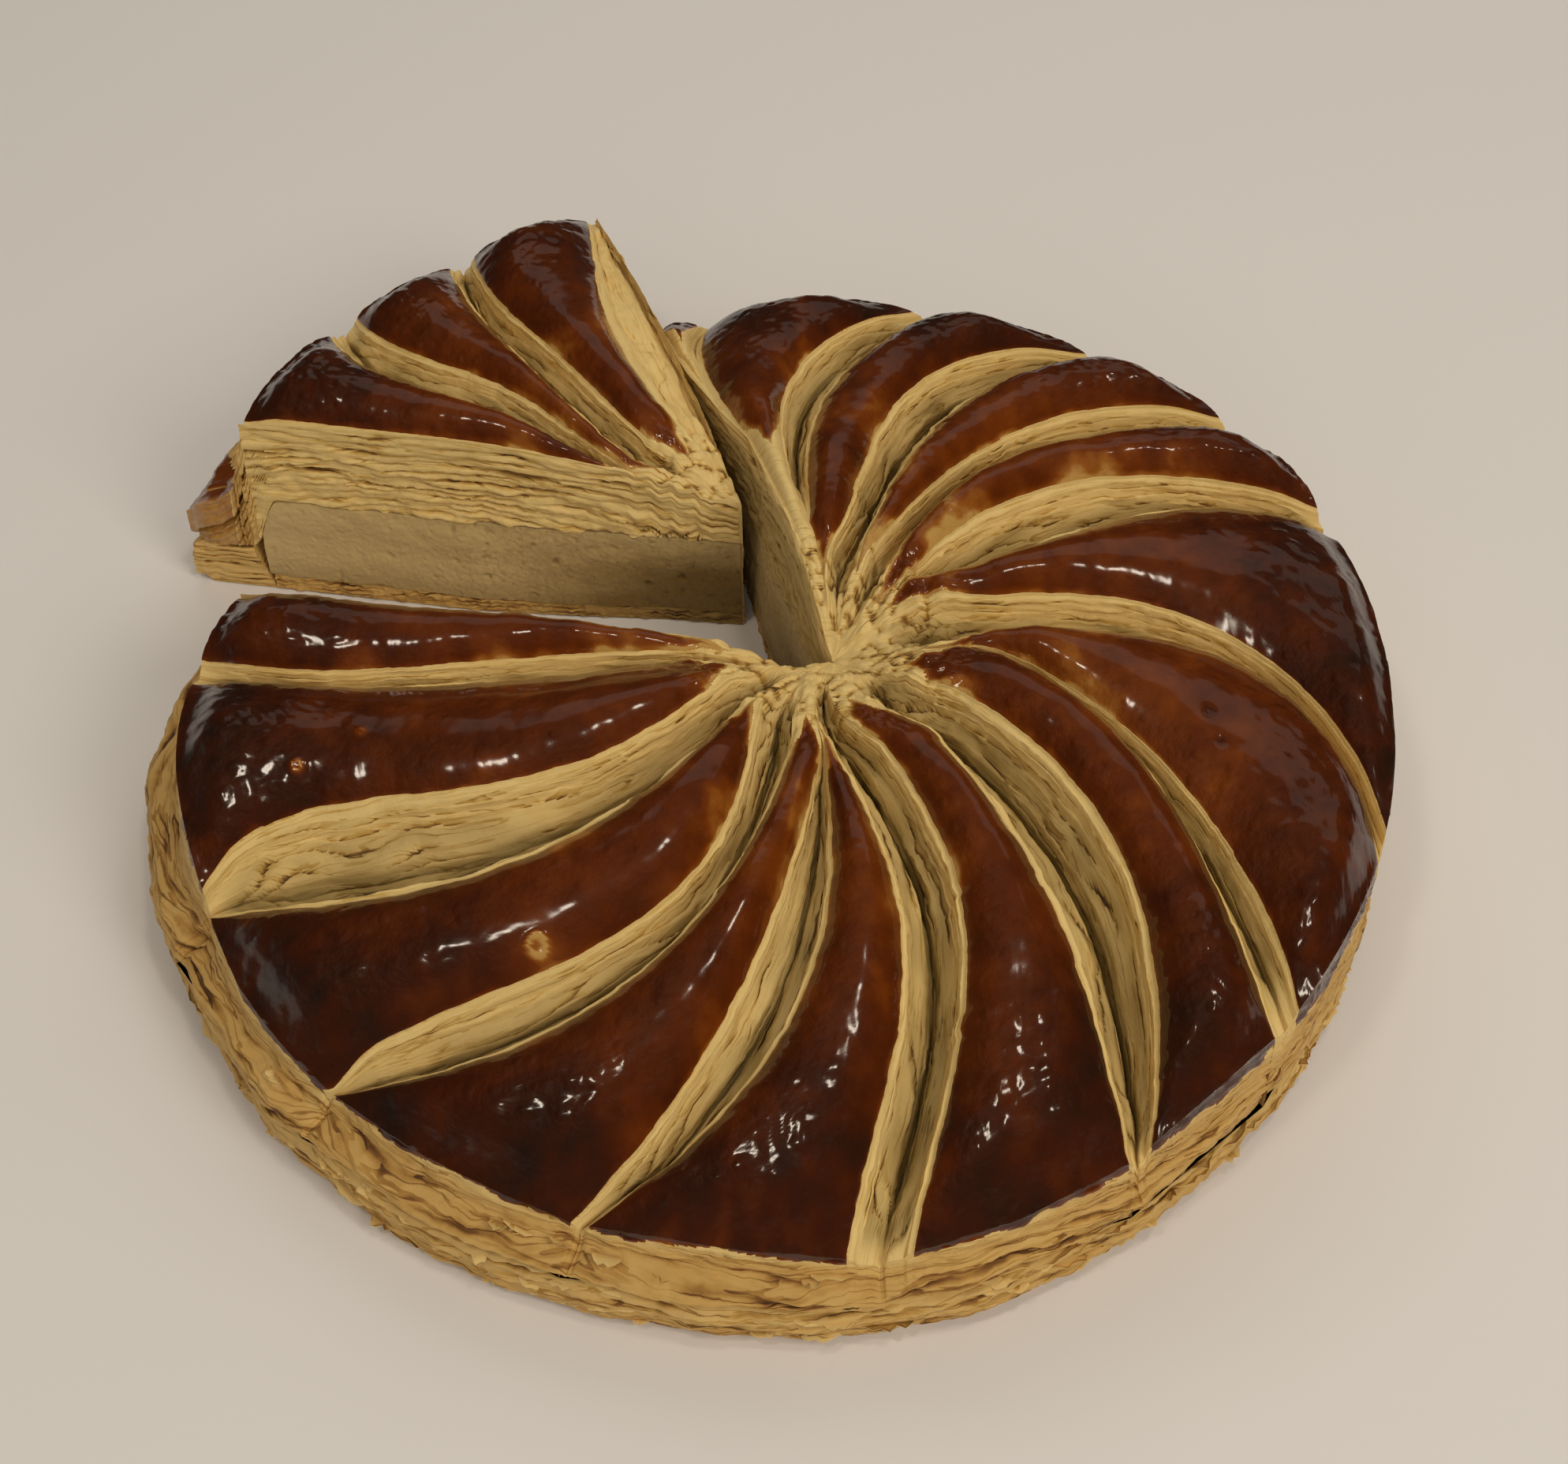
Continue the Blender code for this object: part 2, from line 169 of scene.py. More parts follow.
# The camera's place is from the base's centre, and its lens in millimetres. A light has a name,
# place, size, power, colour, and whether the glaze mirrors it. Metres and watts.
CAMERA_LENS = 50.70
CAMERA_ELEVATION = 48.411  # degrees
CAMERA_ROLL = -0.778  # degrees
CAMERA_PLACE = np.array([0.002924, -0.246682, 0.295002])
LIGHTS = [
    ("lamp_left", (-0.30, -0.30, 1.00), (0.11, 0.11), 1.0, "#fff1dc", True),
    ("lamp_right", (0.22, -0.10, 1.10), (0.11, 0.11), 1.0, "#fff1dc", True),
    ("key_soft", (0.75, -0.70, 0.85), (0.6, 0.6), 5.8, "#fff6ea", False),
    ("front_soft", (-0.15, -0.95, 0.70), (0.8, 0.5), 1.6, "#fff6ea", False),
    ("back_soft", (0.10, 0.90, 0.80), (1.4, 0.6), 2.6, "#fff6ea", False),
    ("window", (0.20, 1.00, 1.12), (1.6, 0.65), 1.3, "#f5efe4", True),
]
FLOOR_SIZE = 4.0


# ---- patterns and curves


def ease(value, start, stop):
    """0 before the start, 1 after the stop, and 3s^2 - 2s^3 between them."""
    share = np.clip((value - start) / (stop - start), 0, 1)
    return share * share * (3 - 2 * share)


def fall(value, start, stop):
    """1 before the start, and 0 after the stop."""
    return 1 - ease(value, start, stop)


def waves(x, y, seed):
    """Smooth random waves from about -1 to 1, one unit long.

    Each whole-number corner has a random slope. A point's value is its four corners' slopes
    times its offsets from them, blended with 6t^5 - 15t^4 + 10t^3.
    """
    x, y = np.broadcast_arrays(np.asarray(x, float), np.asarray(y, float))
    x0, y0 = np.floor(x), np.floor(y)
    fx, fy = x - x0, y - y0
    wx = fx * fx * fx * (fx * (6 * fx - 15) + 10)
    wy = fy * fy * fy * (fy * (6 * fy - 15) + 10)
    x0, y0 = x0.astype(np.int64), y0.astype(np.int64)

    def corner(dx, dy):
        # Large odd numbers scatter the corner's bits, and two folds of them give its turn.
        mixed = (x0 + dx) * 374761393 + (y0 + dy) * 668265263 + seed * 1442695041
        mixed &= 0xFFFFFFFF
        mixed = ((mixed ^ (mixed >> 13)) * 1274126177) & 0xFFFFFFFF
        turn = (mixed ^ (mixed >> 16)) * (2 * np.pi / 2**32)
        return np.cos(turn) * (fx - dx) + np.sin(turn) * (fy - dy)

    low = corner(0, 0) + wx * (corner(1, 0) - corner(0, 0))
    high = corner(0, 1) + wx * (corner(1, 1) - corner(0, 1))
    return 1.5 * (low + wy * (high - low))


def rough(x, y, seed, octaves=3):
    """Waves added at halving sizes and halving strengths."""
    total = 0
    for octave in range(octaves):
        total = total + waves(x * 2**octave, y * 2**octave, seed + 31 * octave) / 2**octave
    return total


def leaves(along, level, spacing, seed, drift=1):
    """The edges of a stack of pastry leaves: (how far each stands out, how deep in a crevice).

    along and level are in millimetres. The level over the spacing, with slow waves added, is cut
    into whole leaves. Each leaf reaches out by its own random length, which changes along it, and
    steps over to the next within a quarter of its thickness. Narrow crevices, which come and go,
    part them: each is a bell curve about the line between two leaves.
    """
    bend = 0.8 * waves(along / 27, level / 14, seed)
    bend = bend + 0.1 * waves(along / 6.3, level / 4, seed + 1)
    turn = level / spacing + drift * bend
    leaf = np.floor(turn)
    inside = turn - leaf

    def length(number):
        slow = waves(along / 13, number * 3.7, seed + 2)
        return 0.5 + 0.45 * slow + 0.12 * waves(along / 2.2, number * 5.3, seed + 3)

    def opening(number):
        return np.clip(0.45 + waves(along / 9, number * 4.1, seed + 4), 0, 1)

    before, after = length(leaf - 1), length(leaf)
    stand = before + (after - before) * ease(inside, 0, 0.28)
    crevice = opening(leaf) * np.exp(-((inside / 0.2) ** 2))
    crevice = crevice + opening(leaf + 1) * np.exp(-(((1 - inside) / 0.16) ** 2))
    return np.clip(stand, 0, 1.2) - 0.7 * crevice, np.clip(crevice, 0, 1)


def directions(angles):
    """Unit vectors in plan at these angles, in degrees from +X."""
    radians = np.radians(angles)
    return np.stack([np.cos(radians), np.sin(radians)], axis=-1)


def reach(piece, angles, radius):
    """Distance from the piece's tip to the circle of this radius about the base's centre."""
    offset = np.subtract(piece.tip, piece.base_centre)
    along = directions(angles) @ offset
    swell = sum(size * np.exp(-(((angles - at) / width) ** 2)) for at, width, size in piece.swells)
    return -along + np.sqrt(along**2 + np.square(radius + swell) - offset @ offset)


def end_values(piece, angles):
    """The petals' end radius and end height, blended between the middles of their ends."""
    middles = np.array([(petal.left[3] + petal.right[3]) / 2 for petal in piece.petals])
    order = np.argsort(middles)
    radii = np.array([petal.end_radius for petal in piece.petals])
    heights = np.array([petal.end_height for petal in piece.petals])
    return (
        np.interp(angles, middles[order], radii[order]),
        np.interp(angles, middles[order], heights[order]),
    )


def way_round(angles):
    """Millimetres round the cake's radius."""
    return np.radians(angles) * (CAKE_RADIUS / MILLIMETRE)


def place_of(piece, angle, distance):
    """Plan positions from polar coordinates about the piece's tip."""
    return np.array(piece.tip) + distance[..., None] * directions(angle)


def hub_dip(piece, share):
    """How far the middle dips: a bell curve, a little more pointed than the usual one."""
    return HUB_DIP * np.exp(-((share / piece.dip_radius) ** DIP_POWER))


def dome_height(piece, share, end_height):
    """End height plus (crown - end height)(1 - share^2.6), less the dip of the middle."""
    rise = (piece.crown - end_height) * (1 - share**DOME_POWER)
    return end_height + rise - hub_dip(piece, share)


def sag_depth(piece, angles, share):
    """How far the top sinks near the last cut: most at the tip, and nothing at the rim."""
    return piece.sag * (1 - share**2) * ease(-angles, SAG_FROM, SAG_FULL)


def cut_offset(piece, distance, height):
    """How far the first cut's face stands out of a flat cut, in millimetres, from foot to top."""
    top = np.interp(distance, CUT_KNOTS, piece.cut_top)
    foot = np.interp(distance, CUT_KNOTS, piece.cut_foot)
    return foot + (top - foot) * np.clip(height / piece.crown, 0, 1)


def roof_height(piece, angles, distance):
    """The height of the filling's top: flat, then following the dome, then down to the seam."""
    share = distance / reach(piece, angles, piece.base_radius)
    _, end_height = end_values(piece, angles)
    below = np.minimum(share, 1) * ROOF_FOLLOWS
    over = dome_height(piece, below, end_height) + hub_dip(piece, share * ROOF_FOLLOWS)
    over = over - sag_depth(piece, angles, below)
    roof = np.minimum(FILLING_TOP, over - ROOF_OVER_FILLING)
    return roof + (SEAM_HEIGHT - roof) * ease(share, FILLING_EDGE - 0.03, FILLING_EDGE + 0.03)


def seam_height(angles):
    """The height of the seam between the two pastries, which wanders by under a millimetre."""
    along = way_round(angles)
    return SEAM_HEIGHT + MM * (0.7 * waves(along / 21, 5, 61) + 0.3 * waves(along / 6, 9, 62))


def rim_wander(along):
    """How far the leaves of the rim rise and fall on their way round, in millimetres."""
    return 1.5 * waves(along / 38, 2, 63) + 0.5 * waves(along / 11, 4, 64)


def rim_swell(along):
    """How far the rim swells out and in on its way round, in millimetres."""
    return 0.9 * waves(along / 30, 6, 65) + 0.6 * waves(along / 12, 8, 66)


def to_metres(plan, heights):
    """Points in the frame, from plan positions and heights in shares of the radius."""
    points = np.concatenate([plan, heights[..., None]], axis=-1) * CAKE_RADIUS
    points[..., :2] += BASE_CENTRE
    return points


# ---- meshes


def grid_quads(number):
    """The quads of a grid of point numbers."""
    corners = [number[:-1, :-1], number[:-1, 1:], number[1:, 1:], number[1:, :-1]]
    return np.stack(corners, axis=-1).reshape(-1, 4)


def outline_of(number):
    """The border of a grid of point numbers, as one loop."""
    return np.concatenate([number[:, 0], number[-1, 1:], number[-2::-1, -1], number[0, -2:0:-1]])


def add_mesh(name, points, quads, others, materials, face_material, attributes):
    """A mesh object from arrays: quads as rows of four, and others as a list of outlines.

    The shell's volume, summed over its faces' corners, tells if it is inside out; if so, each
    face's corners are turned round.
    """
    mesh = bpy.data.meshes.new(name)
    loops = [quads.ravel()] + [np.asarray(face) for face in others]
    sizes = np.concatenate([np.full(len(quads), 4), [len(face) for face in others]]).astype(int)
    corners = np.concatenate(loops).astype(np.int32)
    starts = (np.cumsum(sizes) - sizes).astype(np.int32)
    a, b, c = (points[corners[starts + k]] for k in (0, 1, 2))
    d = points[corners[starts + sizes - 1]]
    volume = np.einsum("ij,ij->", a, np.cross(b, c)) + np.einsum("ij,ij->", a, np.cross(c, d))
    if volume < 0:
        corners = corners[np.repeat(2 * starts + sizes - 1, sizes) - np.arange(len(corners))]
    mesh.vertices.add(len(points))
    mesh.vertices.foreach_set("co", points.astype(np.float32).ravel())
    mesh.loops.add(len(corners))
    mesh.loops.foreach_set("vertex_index", corners)
    mesh.polygons.add(len(starts))
    mesh.polygons.foreach_set("loop_start", starts)
    mesh.polygons.foreach_set("material_index", face_material.astype(np.int32))
    for key, values in attributes.items():
        layer = mesh.attributes.new(key, "FLOAT", "POINT")
        layer.data.foreach_set("value", values.astype(np.float32).ravel())
    for material in materials:
        mesh.materials.append(material)
    mesh.update(calc_edges=True)
    mesh.validate()
    mesh.shade_smooth()
    mesh.set_sharp_from_angle(angle=SHARP_ANGLE)
    obj = bpy.data.objects.new(name, mesh)
    bpy.context.scene.collection.objects.link(obj)
    return obj


def settle(obj, node_name):
    """Ties a piece to the root body, and hides the CAD node that it stands in for."""
    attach(obj, "root")
    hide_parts(node_name)


# ---- the scored top


def edge_table(piece):
    """Angles of all the edges, clockwise from the first cut, at evenly spaced distances.

    Each is a cubic through the petal's four knots, with a torn edge's small waves, and each
    stays at least a little clockwise of the one before.
    """
    distance = np.linspace(0, 1.4, 1401)
    held = np.maximum(distance, 0.2)
    bend = cut_offset(piece, distance, piece.crown) * MM
    edges = [piece.first_cut + np.degrees(bend / np.maximum(distance, LEAST_DISTANCE))]
    for index, petal in enumerate(piece.petals):
        for side, knots in enumerate((petal.left, petal.right)):
            seed = 11 * index + 5 * side + len(piece.petals)
            torn = 0.26 * waves(distance / (5 * MM), seed, 1)
            torn = torn + 0.12 * waves(distance / (1.5 * MM), seed, 2)
            jag = ease(waves(distance / (8 * MM), seed, 3), 0.1, 0.16)
            torn = (torn + 0.55 * jag * waves(distance / (21 * MM), seed, 4)) * MM
            torn = torn * ease(distance, 0.12, 0.3)
            bent = np.polyval(np.polyfit(EDGE_KNOTS, knots, 3), held)
            turn = petal.tip_angle - 0.5 * (petal.left[0] + petal.right[0])
            bent = bent + turn * fall(distance, 0.1, 0.28)
            edges.append(bent + np.degrees(torn / held))
    edges.append(np.full_like(distance, piece.last_cut))
    table = np.array(edges)
    least = np.degrees(LEAST_WIDTH / np.maximum(distance, LEAST_DISTANCE))
    for row in range(1, len(table)):
        table[row] = np.minimum(table[row], table[row - 1] - least)
    for row in range(len(table) - 2, -1, -1):
        table[row] = np.maximum(table[row], table[row + 1] + least)
    return distance, table


def even_ends(count):
    """Shares from 0 to 1 that lie closer together at both ends."""
    share = np.linspace(0, 1, count)
    return 0.45 * share + 0.55 * (0.5 - 0.5 * np.cos(np.pi * share))


def mirrored(half):
    """Shares from 0 to a half, followed by their mirror image up to 1."""
    return np.concatenate([half, 1 - half[-2::-1]])


# A groove's cross section: shares across it, and shares of its depth. A nearly flat lip ends in a
# steep wall, which curves out into a broad floor with a narrow crack in the middle. The places
# tell which share of the columns each stretch gets.
GROOVE_ACROSS = mirrored(np.array([0, 0.03, 0.085, 0.12, 0.16, 0.22, 0.32, 0.4, 0.46, 0.5]))
GROOVE_PLACES = mirrored(np.array([0, 0.021, 0.058, 0.145, 0.206, 0.249, 0.299, 0.341, 0.43, 0.5]))
GROOVE_DOWN = np.array([0, 0.05, 0.1, 0.3, 0.44, 0.52, 0.58, 0.64, 0.84, 1])
GROOVE_DOWN = np.concatenate([GROOVE_DOWN, GROOVE_DOWN[-2::-1]])

# The outer wall under a petal's end: shares of the way out to the seam and of the height.
WALL_PLACES = np.array([0, 0.05, 0.25, 0.5, 0.65, 0.8, 0.92, 1])
WALL_OUT = np.array([0, -0.02, 0.1, 0.25, 0.5, 0.85, 1, 1])
WALL_HEIGHT = np.array([1, 0.96, 0.7, 0.45, 0.36, 0.28, 0.15, 0])

PETAL, GROOVE, FIRST_FACE, LAST_FACE = range(4)


def wedge_columns(piece, index):
    """The columns of one wedge: (kind, edge index, share across, place), clockwise."""
    columns = []

    def add(kind, edge, share, place):
        columns.append((np.full(len(share), kind), np.full(len(share), edge), share, place))

    down = np.linspace(1, 0, FACE_COLUMNS)
    if index == 0:
        add(FIRST_FACE, 0, np.zeros(FACE_COLUMNS), down)
        add(PETAL, 0, np.linspace(0.1, 0.9, 4), np.zeros(4))
    share = even_ends(PETAL_COLUMNS)
    add(PETAL, 2 * index + 1, share, share)
    place = np.linspace(0, 1, GROOVE_COLUMNS)[1:]
    if index == len(piece.petals) - 1:
        half = place * 0.5
        add(GROOVE, 2 * index + 2, np.interp(half, GROOVE_PLACES, GROOVE_ACROSS) * 2, half)
        add(LAST_FACE, 2 * index + 3, np.zeros(FACE_COLUMNS - 1), down[::-1][1:])
    else:
        add(GROOVE, 2 * index + 2, np.interp(place, GROOVE_PLACES, GROOVE_ACROSS), place)
    return [np.concatenate(part) for part in zip(*columns)]


def lay_out(piece, index, distances, table):
    """Where the points of one wedge lie in plan, as arrays of rows by columns.

    Rows run at even shares of the way from the tip to the petals' ends, and then down the outer
    wall. Columns run clockwise, each at its share of the angle between two edges. The functions
    below read and add to these arrays, whose lengths are shares of the radius. along, x, y and
    width are in millimetres.
    """
    w = SimpleNamespace(piece=piece, index=index, petal=piece.petals[index])
    w.last = index == len(piece.petals) - 1
    w.seed = 100 * (1 + index) + len(piece.petals)
    w.kind, w.edge, w.across, w.place = wedge_columns(piece, index)

    def angle_at(distance):
        result = np.empty(distance.shape)
        for number in np.unique(w.edge):
            here = w.edge == number
            low = np.interp(distance[:, here], distances, table[number])
            high = np.interp(distance[:, here], distances, table[min(number + 1, len(table) - 1)])
            result[:, here] = low + (high - low) * w.across[here]
        return result

    w.end_angle = angle_at(np.full((1, len(w.kind)), END_DISTANCE))[0]
    end_radius, w.end_height = end_values(piece, w.end_angle)
    w.share = np.concatenate([np.linspace(FIRST_SHARE, 1, TOP_ROWS), np.ones(WALL_ROWS)])[:, None]
    w.wall = np.concatenate([np.zeros(TOP_ROWS), np.linspace(0, 1, WALL_ROWS + 1)[1:]])[:, None]
    w.distance = w.share * reach(piece, w.end_angle, end_radius)
    w.angle = angle_at(w.distance)
    w.round = way_round(w.angle)
    plan = place_of(piece, w.angle, w.distance)
    w.x, w.y = plan[..., 0] / MM, plan[..., 1] / MM
    w.along = w.distance / MM
    w.on_petal, w.on_groove = w.kind == PETAL, w.kind == GROOVE
    w.on_face = (w.kind == FIRST_FACE) | (w.kind == LAST_FACE)
    w.own = w.on_petal & (w.edge == 2 * index + 1)
    left, right = (np.interp(w.distance, distances, table[2 * index + k]) for k in (1, 2))
    w.width = np.radians(left - right) * w.distance / MM
    w.side = np.where(w.place <= 0.5, -1, 1)  # of the groove
    return w


def skin_waves(w, size, seed):
    """Waves over the wedge in plan, of this size in millimetres."""
    return waves(w.x / size, w.y / size, w.seed + seed)


def unscored_top(w):
    """The dome less its sag, with each petal crowned, lumpy, puffed and rolled over at its end."""
    fade = ease(w.share, 0.1, 0.4)
    middle = np.where(w.own, 1 - np.abs(2 * w.across - 1) ** 2.4, 0)
    broad = np.clip(w.width / 8, 0, 1)
    height = dome_height(w.piece, w.share, w.end_height) - sag_depth(w.piece, w.angle, w.share)
    height = height + fade * (CROWN_RISE * middle * broad - EDGE_DROP * (1 - middle * broad))
    ends = ease(w.share, 0.62, 0.95)
    creases = np.abs(skin_waves(w, 3.1, 7))
    creases = creases + 0.5 * np.abs(skin_waves(w, 1.5, 8))
    lumps = 0.45 * skin_waves(w, 9, 5)
    lumps = lumps + 0.12 * skin_waves(w, 3.3, 6)
    skin = lumps * (0.5 + 0.5 * ends) + ends * 0.4 * (creases - 0.4)
    height = height + MM * skin * np.sqrt(middle) * ease(w.share, 0.05, 0.2)
    puff = END_PUFF * ease(w.share, 0.68, 0.91) * np.sqrt(middle) * broad
    roll = END_ROLL * ease(w.share, 0.9, 1) ** 2
    return height + puff - roll * (0.3 + 0.7 * middle) * (1 - w.on_face)


def add_marks(w, height):
    """Adds the marks' rings, each a bell curve about a circle, and tells how much darker they are."""
    darker = 0 * height
    for at_x, at_y, radius, rise, dark in MARKS if w.piece is MAIN else []:
        away = np.hypot(w.x - at_x / MM, w.y - at_y / MM)
        ring = np.exp(-(((away - radius) / 0.45) ** 2))
        height = height + rise * MM * ring
        darker = darker + dark * (ring + 0.4 * (away < radius))
    return height, darker


def cut_groove(w, height):
    """Takes the groove out of the top. Also gives how far its leaves move each point sideways.

    The level below the top is the depth times the cross section. It is drawn towards steps one
    torn leaf high, which wander up and down along the wall. The walls then get the relief of
    thinner leaves, and the floor gets lumps, with crevices at the steps' feet. The crevices, and a
    line under each step, are darkened with painted shade.
    """
    along, side, seed = w.along, w.side, w.seed
    start = w.petal.groove_start
    depth = w.petal.groove_depth * ease(w.share, start, start + 0.2)
    depth = depth * (1 - 0.65 * ease(w.share, 0.86, 1))
    w.down = np.where(w.on_groove, np.interp(w.place, GROOVE_PLACES, GROOVE_DOWN), 0)
    level = depth * w.down / MM
    wander = 0.9 * waves(along / 15, 3 * side, seed + 14)
    wander = wander + 0.12 * waves(along / 2.6, 5 * side, seed + 15)
    wander = wander + 0.7 * waves(along / 34, 9 * side, seed + 16)
    steps = level / LEAF_STEP + wander * ease(level, 0.3, 1.5)
    riser = steps - np.floor(steps)
    stepped = (np.floor(steps) + ease(riser, 0.5, 0.92)) * LEAF_STEP
    shown = waves(along / 12, 3.1 * np.floor(steps) + 7 * side, seed + 17)
    on_steps = ease(level, 0.3, 1.2) * fall(w.down, 0.8, 0.95)
    on_steps = on_steps * ease(shown, -0.4, 0.2)
    w.level = level + 0.85 * (stepped - wander * LEAF_STEP - level) * on_steps
    height = height - w.level * MM

    where = along + 300 * side  # so that the two walls have other leaves
    stand, crevice = leaves(where, w.level, 1.9, seed, 1.3)
    fine_stand, fine_crevice = leaves(where, w.level, 0.8, seed + 60, 1.4)
    w.opening = ease(depth, 0.005, 0.045) * fall(w.share, 0.96, 1)
    ledge = ease(w.down, 0, 0.08) * fall(w.wall, 0, 0.25)
    if w.last:
        ledge = ledge * 0.25
    relief = 0.45 * stand + 0.22 * fine_stand - 0.3
    shift = np.where(w.on_groove, side * relief * ledge, 0) * w.opening * MM
    # A crevice under each step's leaf, also a dark line of painted shadow.
    under_leaf = on_steps * np.exp(-(((riser - 0.96) / 0.13) ** 2))
    crevice = np.maximum(np.maximum(0.5 * crevice, 0.4 * fine_crevice), under_leaf)
    lumps = 0.35 * waves(along / 12, w.place * 9, seed + 11)
    lumps = lumps + 0.15 * skin_waves(w, 1.7, 12)
    floor = MM * (lumps - 0.5 * crevice) * ease(w.down, 0.25, 0.4)
    # Painted shade in the groove's crevices and under its steps.
    w.cavity = np.where(w.on_groove, crevice * ledge * w.opening, 0)
    return height + np.where(w.on_groove, floor, 0) * w.opening, -shift


def crumple_middle(w, height):
    """Folds the top up where all edges meet, by the size of two waves; the creases lie low, in painted
    shade.
    """
    near = ease(w.share, 0.01, 0.06) * fall(w.share, 0.16, 0.3)
    folds = 1.5 * np.abs(waves(w.x / 4.5, w.y / 4.5, 3)) + 0.7 * np.abs(waves(w.x / 1.9, w.y / 1.9, 4)) - 0.7
    # Painted shade in the low creases.
    w.cavity = np.maximum(w.cavity, 0.9 * ease(-folds, 0.15, 0.6) * near)
    return height + MM * 1.2 * folds * near


def fold_wall(w, height, unscored):
    """Brings the last rows out and down to the seam, and lets the rim's leaves stand out there."""
    w.seam = seam_height(w.angle) + GAP
    flare = reach(w.piece, w.end_angle, w.piece.base_radius + RIM_BULGE)
    part = np.interp(w.wall, WALL_PLACES, WALL_HEIGHT)
    out = np.interp(w.wall, WALL_PLACES, WALL_OUT) * (w.wall > 0)
    height = np.where(w.wall > 0, w.seam + (height - w.seam) * part, height)
    w.rim_level = (w.seam + (unscored - w.seam) * part) / MM + rim_wander(w.round)
    stand, crevice = leaves(w.round, w.rim_level, RIM_LEAF, 17, 1.5)
    fine, fine_crevice = leaves(w.round, w.rim_level, FINE_LEAF, 18, 1.3)
    torn = 0.35 * rough(w.round / 4, w.rim_level / 2, 19, 4) + 0.3 * fine
    lower = 0.35 + 0.65 * ease(w.wall, 0.2, 0.7)
    relief = lower * (stand - 0.6) + torn + rim_swell(w.round) * lower
    distance = w.distance + (flare - w.distance) * out
    distance = distance + relief * MM * ease(w.wall, 0, 0.12)
    w.distance = distance - 0.8 * MM * ease(w.wall, 0.93, 1)
    # Painted shade in the crevices between the rim's leaves.
    w.rim_cavity = np.maximum(crevice, 0.4 * fine_crevice) * lower * (w.wall > 0)
    return height


def open_faces(w, height, shift):
    """Brings the cut faces down from the top's edge to the filling.

    A face's leaves stand out by their relief. Hollows part them, its lower edge hangs down in
    flakes, and the first cut bends as cut_offset says.
    """
    along, seed = w.along, w.seed
    hanging = 0.8 * waves(along / 7, 2, seed + 53) + 0.7 * waves(along / 2.1, 3, seed + 54)
    hanging = np.where(w.on_face, np.clip(hanging, -0.2, 1.6), 0) * MM
    roof = roof_height(w.piece, w.angle, w.distance) + GAP
    roof = roof - hanging * ease(w.share, 0.02, 0.08) * (w.share < 0.8)
    w.roof = np.where(w.wall >= 1, w.seam, np.minimum(roof, height - 0.2 * MM))
    lowered = np.where(w.on_face, height + (w.roof - height) * w.place, height)
    w.below = (height - lowered) / MM
    w.bent = w.below + 1.3 * waves(along / 24, w.below / 9, seed + 41) * ease(w.below, 0.5, 4)
    stand, crevice = leaves(along, w.bent, 1.6, seed + 40, 1.5)
    fine, fine_crevice = leaves(along, w.bent, 0.65, seed + 42, 1.3)
    hollow = ease(waves(along / 16, w.bent / 1.7, seed + 50), 0.36, 0.62)
    hollow = hollow * fall(w.below, 12, 14) * ease(w.below, 1.5, 3)
    torn = rough(along / 4.5, w.bent / 3, seed + 51, 4) * (0.4 + 0.6 * ease(w.below, 5, 9))
    relief = 1.1 * stand + 0.25 * fine - 0.5 - 1.6 * hollow + 0.55 * torn
    relief = relief * ease(w.below, 0, 0.8) * ease(w.share, 0, 0.03)
    first = w.kind == FIRST_FACE
    lean = cut_offset(w.piece, w.distance, lowered) - cut_offset(w.piece, w.distance, w.piece.crown)
    relief = (relief + np.where(first, lean, 0)) * np.where(first, 1, -1)
    shift = shift + np.where(w.on_face, relief * MM, 0)
    # Painted shade in the faces' crevices and hollows.
    face_cavity_shade = np.maximum(np.maximum(crevice, 0.45 * fine_crevice), hollow)
    w.cavity = np.where(w.on_face, face_cavity_shade, w.cavity)
    return lowered, np.where(w.wall > 0, shift * fall(w.wall, 0.7, 1), shift)


def glaze_values(w, darker):
    """Where the glaze lies (1 or 0) and how browned it is (0 to 1).

    The glaze covers a petal from its start to just over its end. It is browner towards the end,
    paler in a thin line along its edges and in patches near them, and mottled by waves.
    """
    start = w.petal.glaze_start + 0.02 * skin_waves(w, 3, 20)
    width = ease(w.distance, start, start + 0.1)
    over_end = 0.13 + 4 * np.clip(w.petal.end_radius - 0.985, 0, 0.04)
    over_end = over_end + 0.1 * waves(w.round / 13, 3, 67) + 0.03 * waves(w.round / 4, 5, 68)
    inward = np.abs(2 * w.across - 1)
    glazed = w.own * (inward < width) * (w.distance > start) * (w.wall < over_end)
    if w.piece is SLICE and w.index == 0:  # a strip of glaze that ran down beside the cut
        from_cut = np.radians(w.piece.first_cut - w.angle) * w.distance / MM
        upper = 0.52 + 0.05 * waves(w.round / 5, 1, 69) + 0.022 * from_cut
        glazed = glazed | ((w.wall > upper) & (w.wall < 0.9) & (w.on_petal | w.on_face))
    from_edge = np.minimum(w.across, 1 - w.across) * w.width
    from_start = np.minimum(w.distance - start, 0.5 * (width - inward) * w.width * MM) / MM
    uneven = skin_waves(w, 3, 23)
    patch = ease(skin_waves(w, 12, 24), 0, 0.6)
    line = 0.4 + 0.6 * ease(skin_waves(w, 7, 25), -0.3, 0.5)
    border = 0.3 * patch * fall(from_edge + 1.8 * uneven, 0.5, 6)
    border = border * (1 - 0.6 * ease(w.share, 0.7, 1))
    border = border + 0.34 * line * fall(from_edge + 0.3 * uneven, 0, 0.8)
    # Per-petal bake: negative values are painted sheen, positive ones browner baking.
    bake = 0.5 + w.piece.browning[w.index] + 0.32 * ease(w.share, 0.55, 0.98) - border + darker
    bake = bake - 0.2 * fall(w.distance, start, start + 0.07)
    bake = bake - 0.5 * fall(over_end - w.wall, 0, 0.07)
    bake = bake - 0.4 * fall(from_start, 0, 1.3) * (w.distance < start + 0.12)
    bake = bake + 0.16 * rough(w.x / 13, w.y / 13, w.seed + 21) + 0.08 * skin_waves(w, 3, 22)
    return glazed, np.clip(bake, 0, 1)


